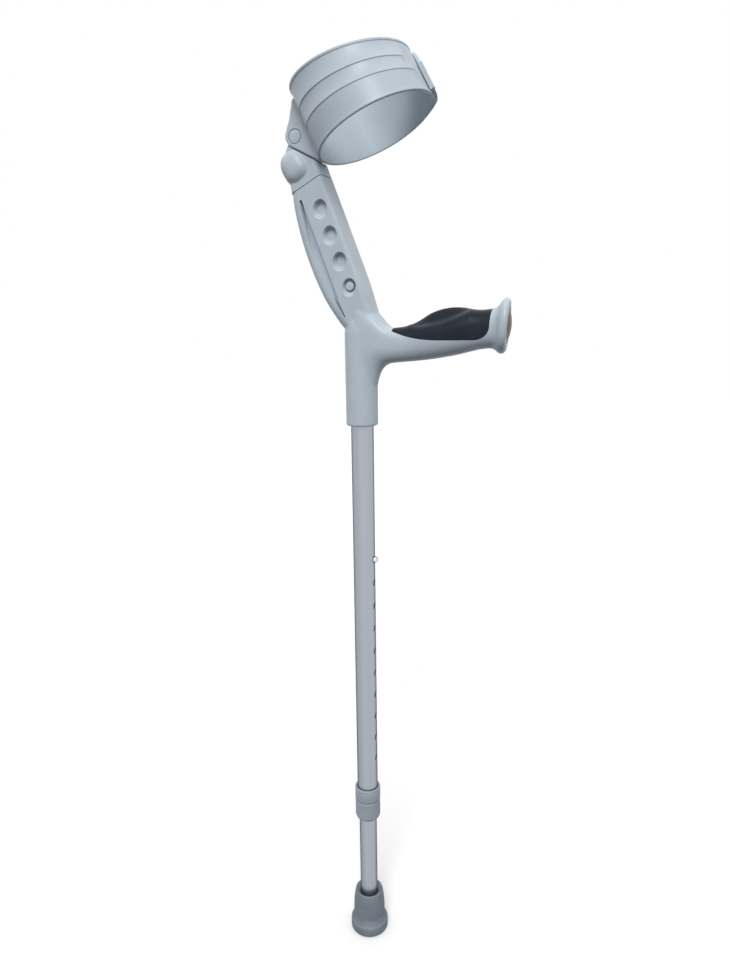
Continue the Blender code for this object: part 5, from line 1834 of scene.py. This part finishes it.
@dataclass
class Studio:
    """Floor and surroundings that look white, one wide soft lamp, and the camera."""

    # Camera: how far away and how high, its angles in degrees, and its lens
    camera_from: Pair = (0.705, 0.685)
    camera_angle: float = 22.0
    camera_dip: float = 13.3
    camera_roll: float = -0.82
    camera_yaw: float = -0.14
    focal_px: float = 730.0
    frame_px: tuple[int, int] = (730, 973)
    sensor_mm: float = 36.0
    # Brightness of the room at the horizon and overhead
    horizon: float = 0.54
    overhead: float = 0.90
    # Lamp: its strength, how wide it looks, and its azimuth and elevation in degrees
    sun: float = 2.04
    sun_angle: float = 24.0
    sun_from: Pair = (15.0, 45.0)
    floor_size: float = 12.0
    floor_height: float = -0.0002

    def camera(self) -> None:
        """Stand the camera where the photograph was taken from."""
        around = math.radians(self.camera_angle)
        heading = math.radians(self.camera_angle + self.camera_yaw)
        dip, roll = math.radians(self.camera_dip), math.radians(self.camera_roll)
        away, height = self.camera_from
        place = Vector((away * math.sin(around), -away * math.cos(around), height))
        level = math.cos(dip)
        ahead = Vector((-math.sin(heading) * level, math.cos(heading) * level, -math.sin(dip)))
        right = Vector((math.cos(heading), math.sin(heading), 0.0))
        over = right.cross(ahead)
        turned_right = right * math.cos(roll) + over * math.sin(roll)
        turned_over = over * math.cos(roll) - right * math.sin(roll)
        camera = bpy.data.cameras.new("photo_camera")
        camera.sensor_fit = "AUTO"
        camera.sensor_width = self.sensor_mm
        camera.lens = self.focal_px / max(self.frame_px) * self.sensor_mm
        camera.clip_start = 0.01
        camera.clip_end = 30.0
        stand = bpy.data.objects.new("photo_camera", camera)
        axes = Matrix((turned_right, turned_over, -ahead)).transposed().to_4x4()
        stand.matrix_world = Matrix.Translation(place) @ axes
        bpy.context.scene.collection.objects.link(stand)
        bpy.context.scene.camera = stand

    def seen_directly(self, tree: bpy.types.NodeTree) -> bpy.types.NodeSocket:
        """Return 1 for camera, glossy and transmission rays, and 0 for the rest.

        Args:
            tree: Node tree of the material or world.

        Returns:
            The socket with that value.
        """
        path = add_node(tree, "ShaderNodeLightPath")
        first = add_node(
            tree,
            "ShaderNodeMath",
            {0: path.outputs["Is Camera Ray"], 1: path.outputs["Is Glossy Ray"]},
            operation="MAXIMUM",
        )
        return add_node(
            tree,
            "ShaderNodeMath",
            {0: first.outputs[0], 1: path.outputs["Is Transmission Ray"]},
            operation="MAXIMUM",
        ).outputs[0]

    def surroundings(self) -> None:
        """Light the object evenly from a pale grey room that looks white."""
        world = bpy.data.worlds.new("white_room")
        world.use_nodes = True
        tree = world.node_tree
        tree.nodes.clear()
        way = add_node(tree, "ShaderNodeTexCoord").outputs["Generated"]
        height = add_node(tree, "ShaderNodeSeparateXYZ", {"Vector": way}).outputs["Z"]
        level = add_node(
            tree, "ShaderNodeMapRange", {"Value": height, "To Min": self.horizon, "To Max": self.overhead}
        ).outputs["Result"]
        grey = add_node(tree, "ShaderNodeBackground", {"Color": linear("#ffffff"), "Strength": level})
        white = add_node(tree, "ShaderNodeBackground", {"Color": linear("#ffffff"), "Strength": 1.0})
        mixed = add_node(
            tree,
            "ShaderNodeMixShader",
            {0: self.seen_directly(tree), 1: grey.outputs[0], 2: white.outputs[0]},
        )
        add_node(tree, "ShaderNodeOutputWorld", {"Surface": mixed.outputs[0]})
        bpy.context.scene.world = world

    def floor(self) -> None:
        """Lay a floor that looks white and keeps the shadow, but throws little light up."""
        bpy.ops.object.select_all(action="DESELECT")
        bpy.ops.mesh.primitive_plane_add(size=self.floor_size, location=(0.0, 0.0, self.floor_height))
        floor = bpy.context.object
        floor.name = "studio_floor"
        bpy.ops.object.transform_apply(location=True, rotation=True, scale=True)
        paper = bpy.data.materials.new("white_paper_sweep")
        paper.use_nodes = True
        tree = paper.node_tree
        tree.nodes.clear()
        dim = add_node(tree, "ShaderNodeBsdfDiffuse", {"Color": linear("#444a55")})
        white = add_node(tree, "ShaderNodeBsdfDiffuse", {"Color": linear("#f0f0f0")})
        mixed = add_node(
            tree,
            "ShaderNodeMixShader",
            {0: self.seen_directly(tree), 1: dim.outputs[0], 2: white.outputs[0]},
        )
        add_node(tree, "ShaderNodeOutputMaterial", {"Surface": mixed.outputs[0]})
        floor.data.materials.append(paper)

    def lamp(self) -> None:
        """Hang the wide soft lamp above the camera. Azimuth 0 is on the near side, and 90 in front."""
        turn, rise = (math.radians(angle) for angle in self.sun_from)
        back = Vector((math.sin(turn) * math.cos(rise), -math.cos(turn) * math.cos(rise), math.sin(rise)))
        light = bpy.data.lights.new("key_softbox", "SUN")
        light.energy = self.sun
        light.angle = math.radians(self.sun_angle)
        stand = bpy.data.objects.new("key_softbox", light)
        stand.matrix_world = back.to_track_quat("Z", "Y").to_matrix().to_4x4()
        bpy.context.scene.collection.objects.link(stand)

    def build(self) -> None:
        """Set the whole stage."""
        self.camera()
        self.surroundings()
        self.floor()
        self.lamp()
        bpy.context.scene.view_settings.view_transform = "Standard"


def main() -> None:
    """Build the crutch from its handle outwards and report each piece."""
    logging.basicConfig(level=logging.INFO, format="%(name)s: %(message)s", stream=sys.stdout)
    joints = {joint["name"]: joint for joint in frame["joints"]}
    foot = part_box("handle_body")[0].z
    up = Vector(joints["post_height"]["axis"]).normalized()
    lean = Lean(Vector((0.0, 0.0, foot + HOUSING_RISE)), up, Vector((up.z, 0.0, -up.x)))
    pivot = lean.point(lean.pivot_along, lean.pivot_out)
    shop = Workshop()
    HandleMoulding(shop, lean, foot).build()
    TelescopicTubes(shop).build()
    TubeClamp(shop).build()
    SnapLock(shop).build()
    RubberFoot(shop).build()
    post = CuffPost(shop, lean, pivot)
    post.build()
    ArmCuff(shop, pivot, post).build()
    Studio().build()


if __name__ == "__main__":
    main()
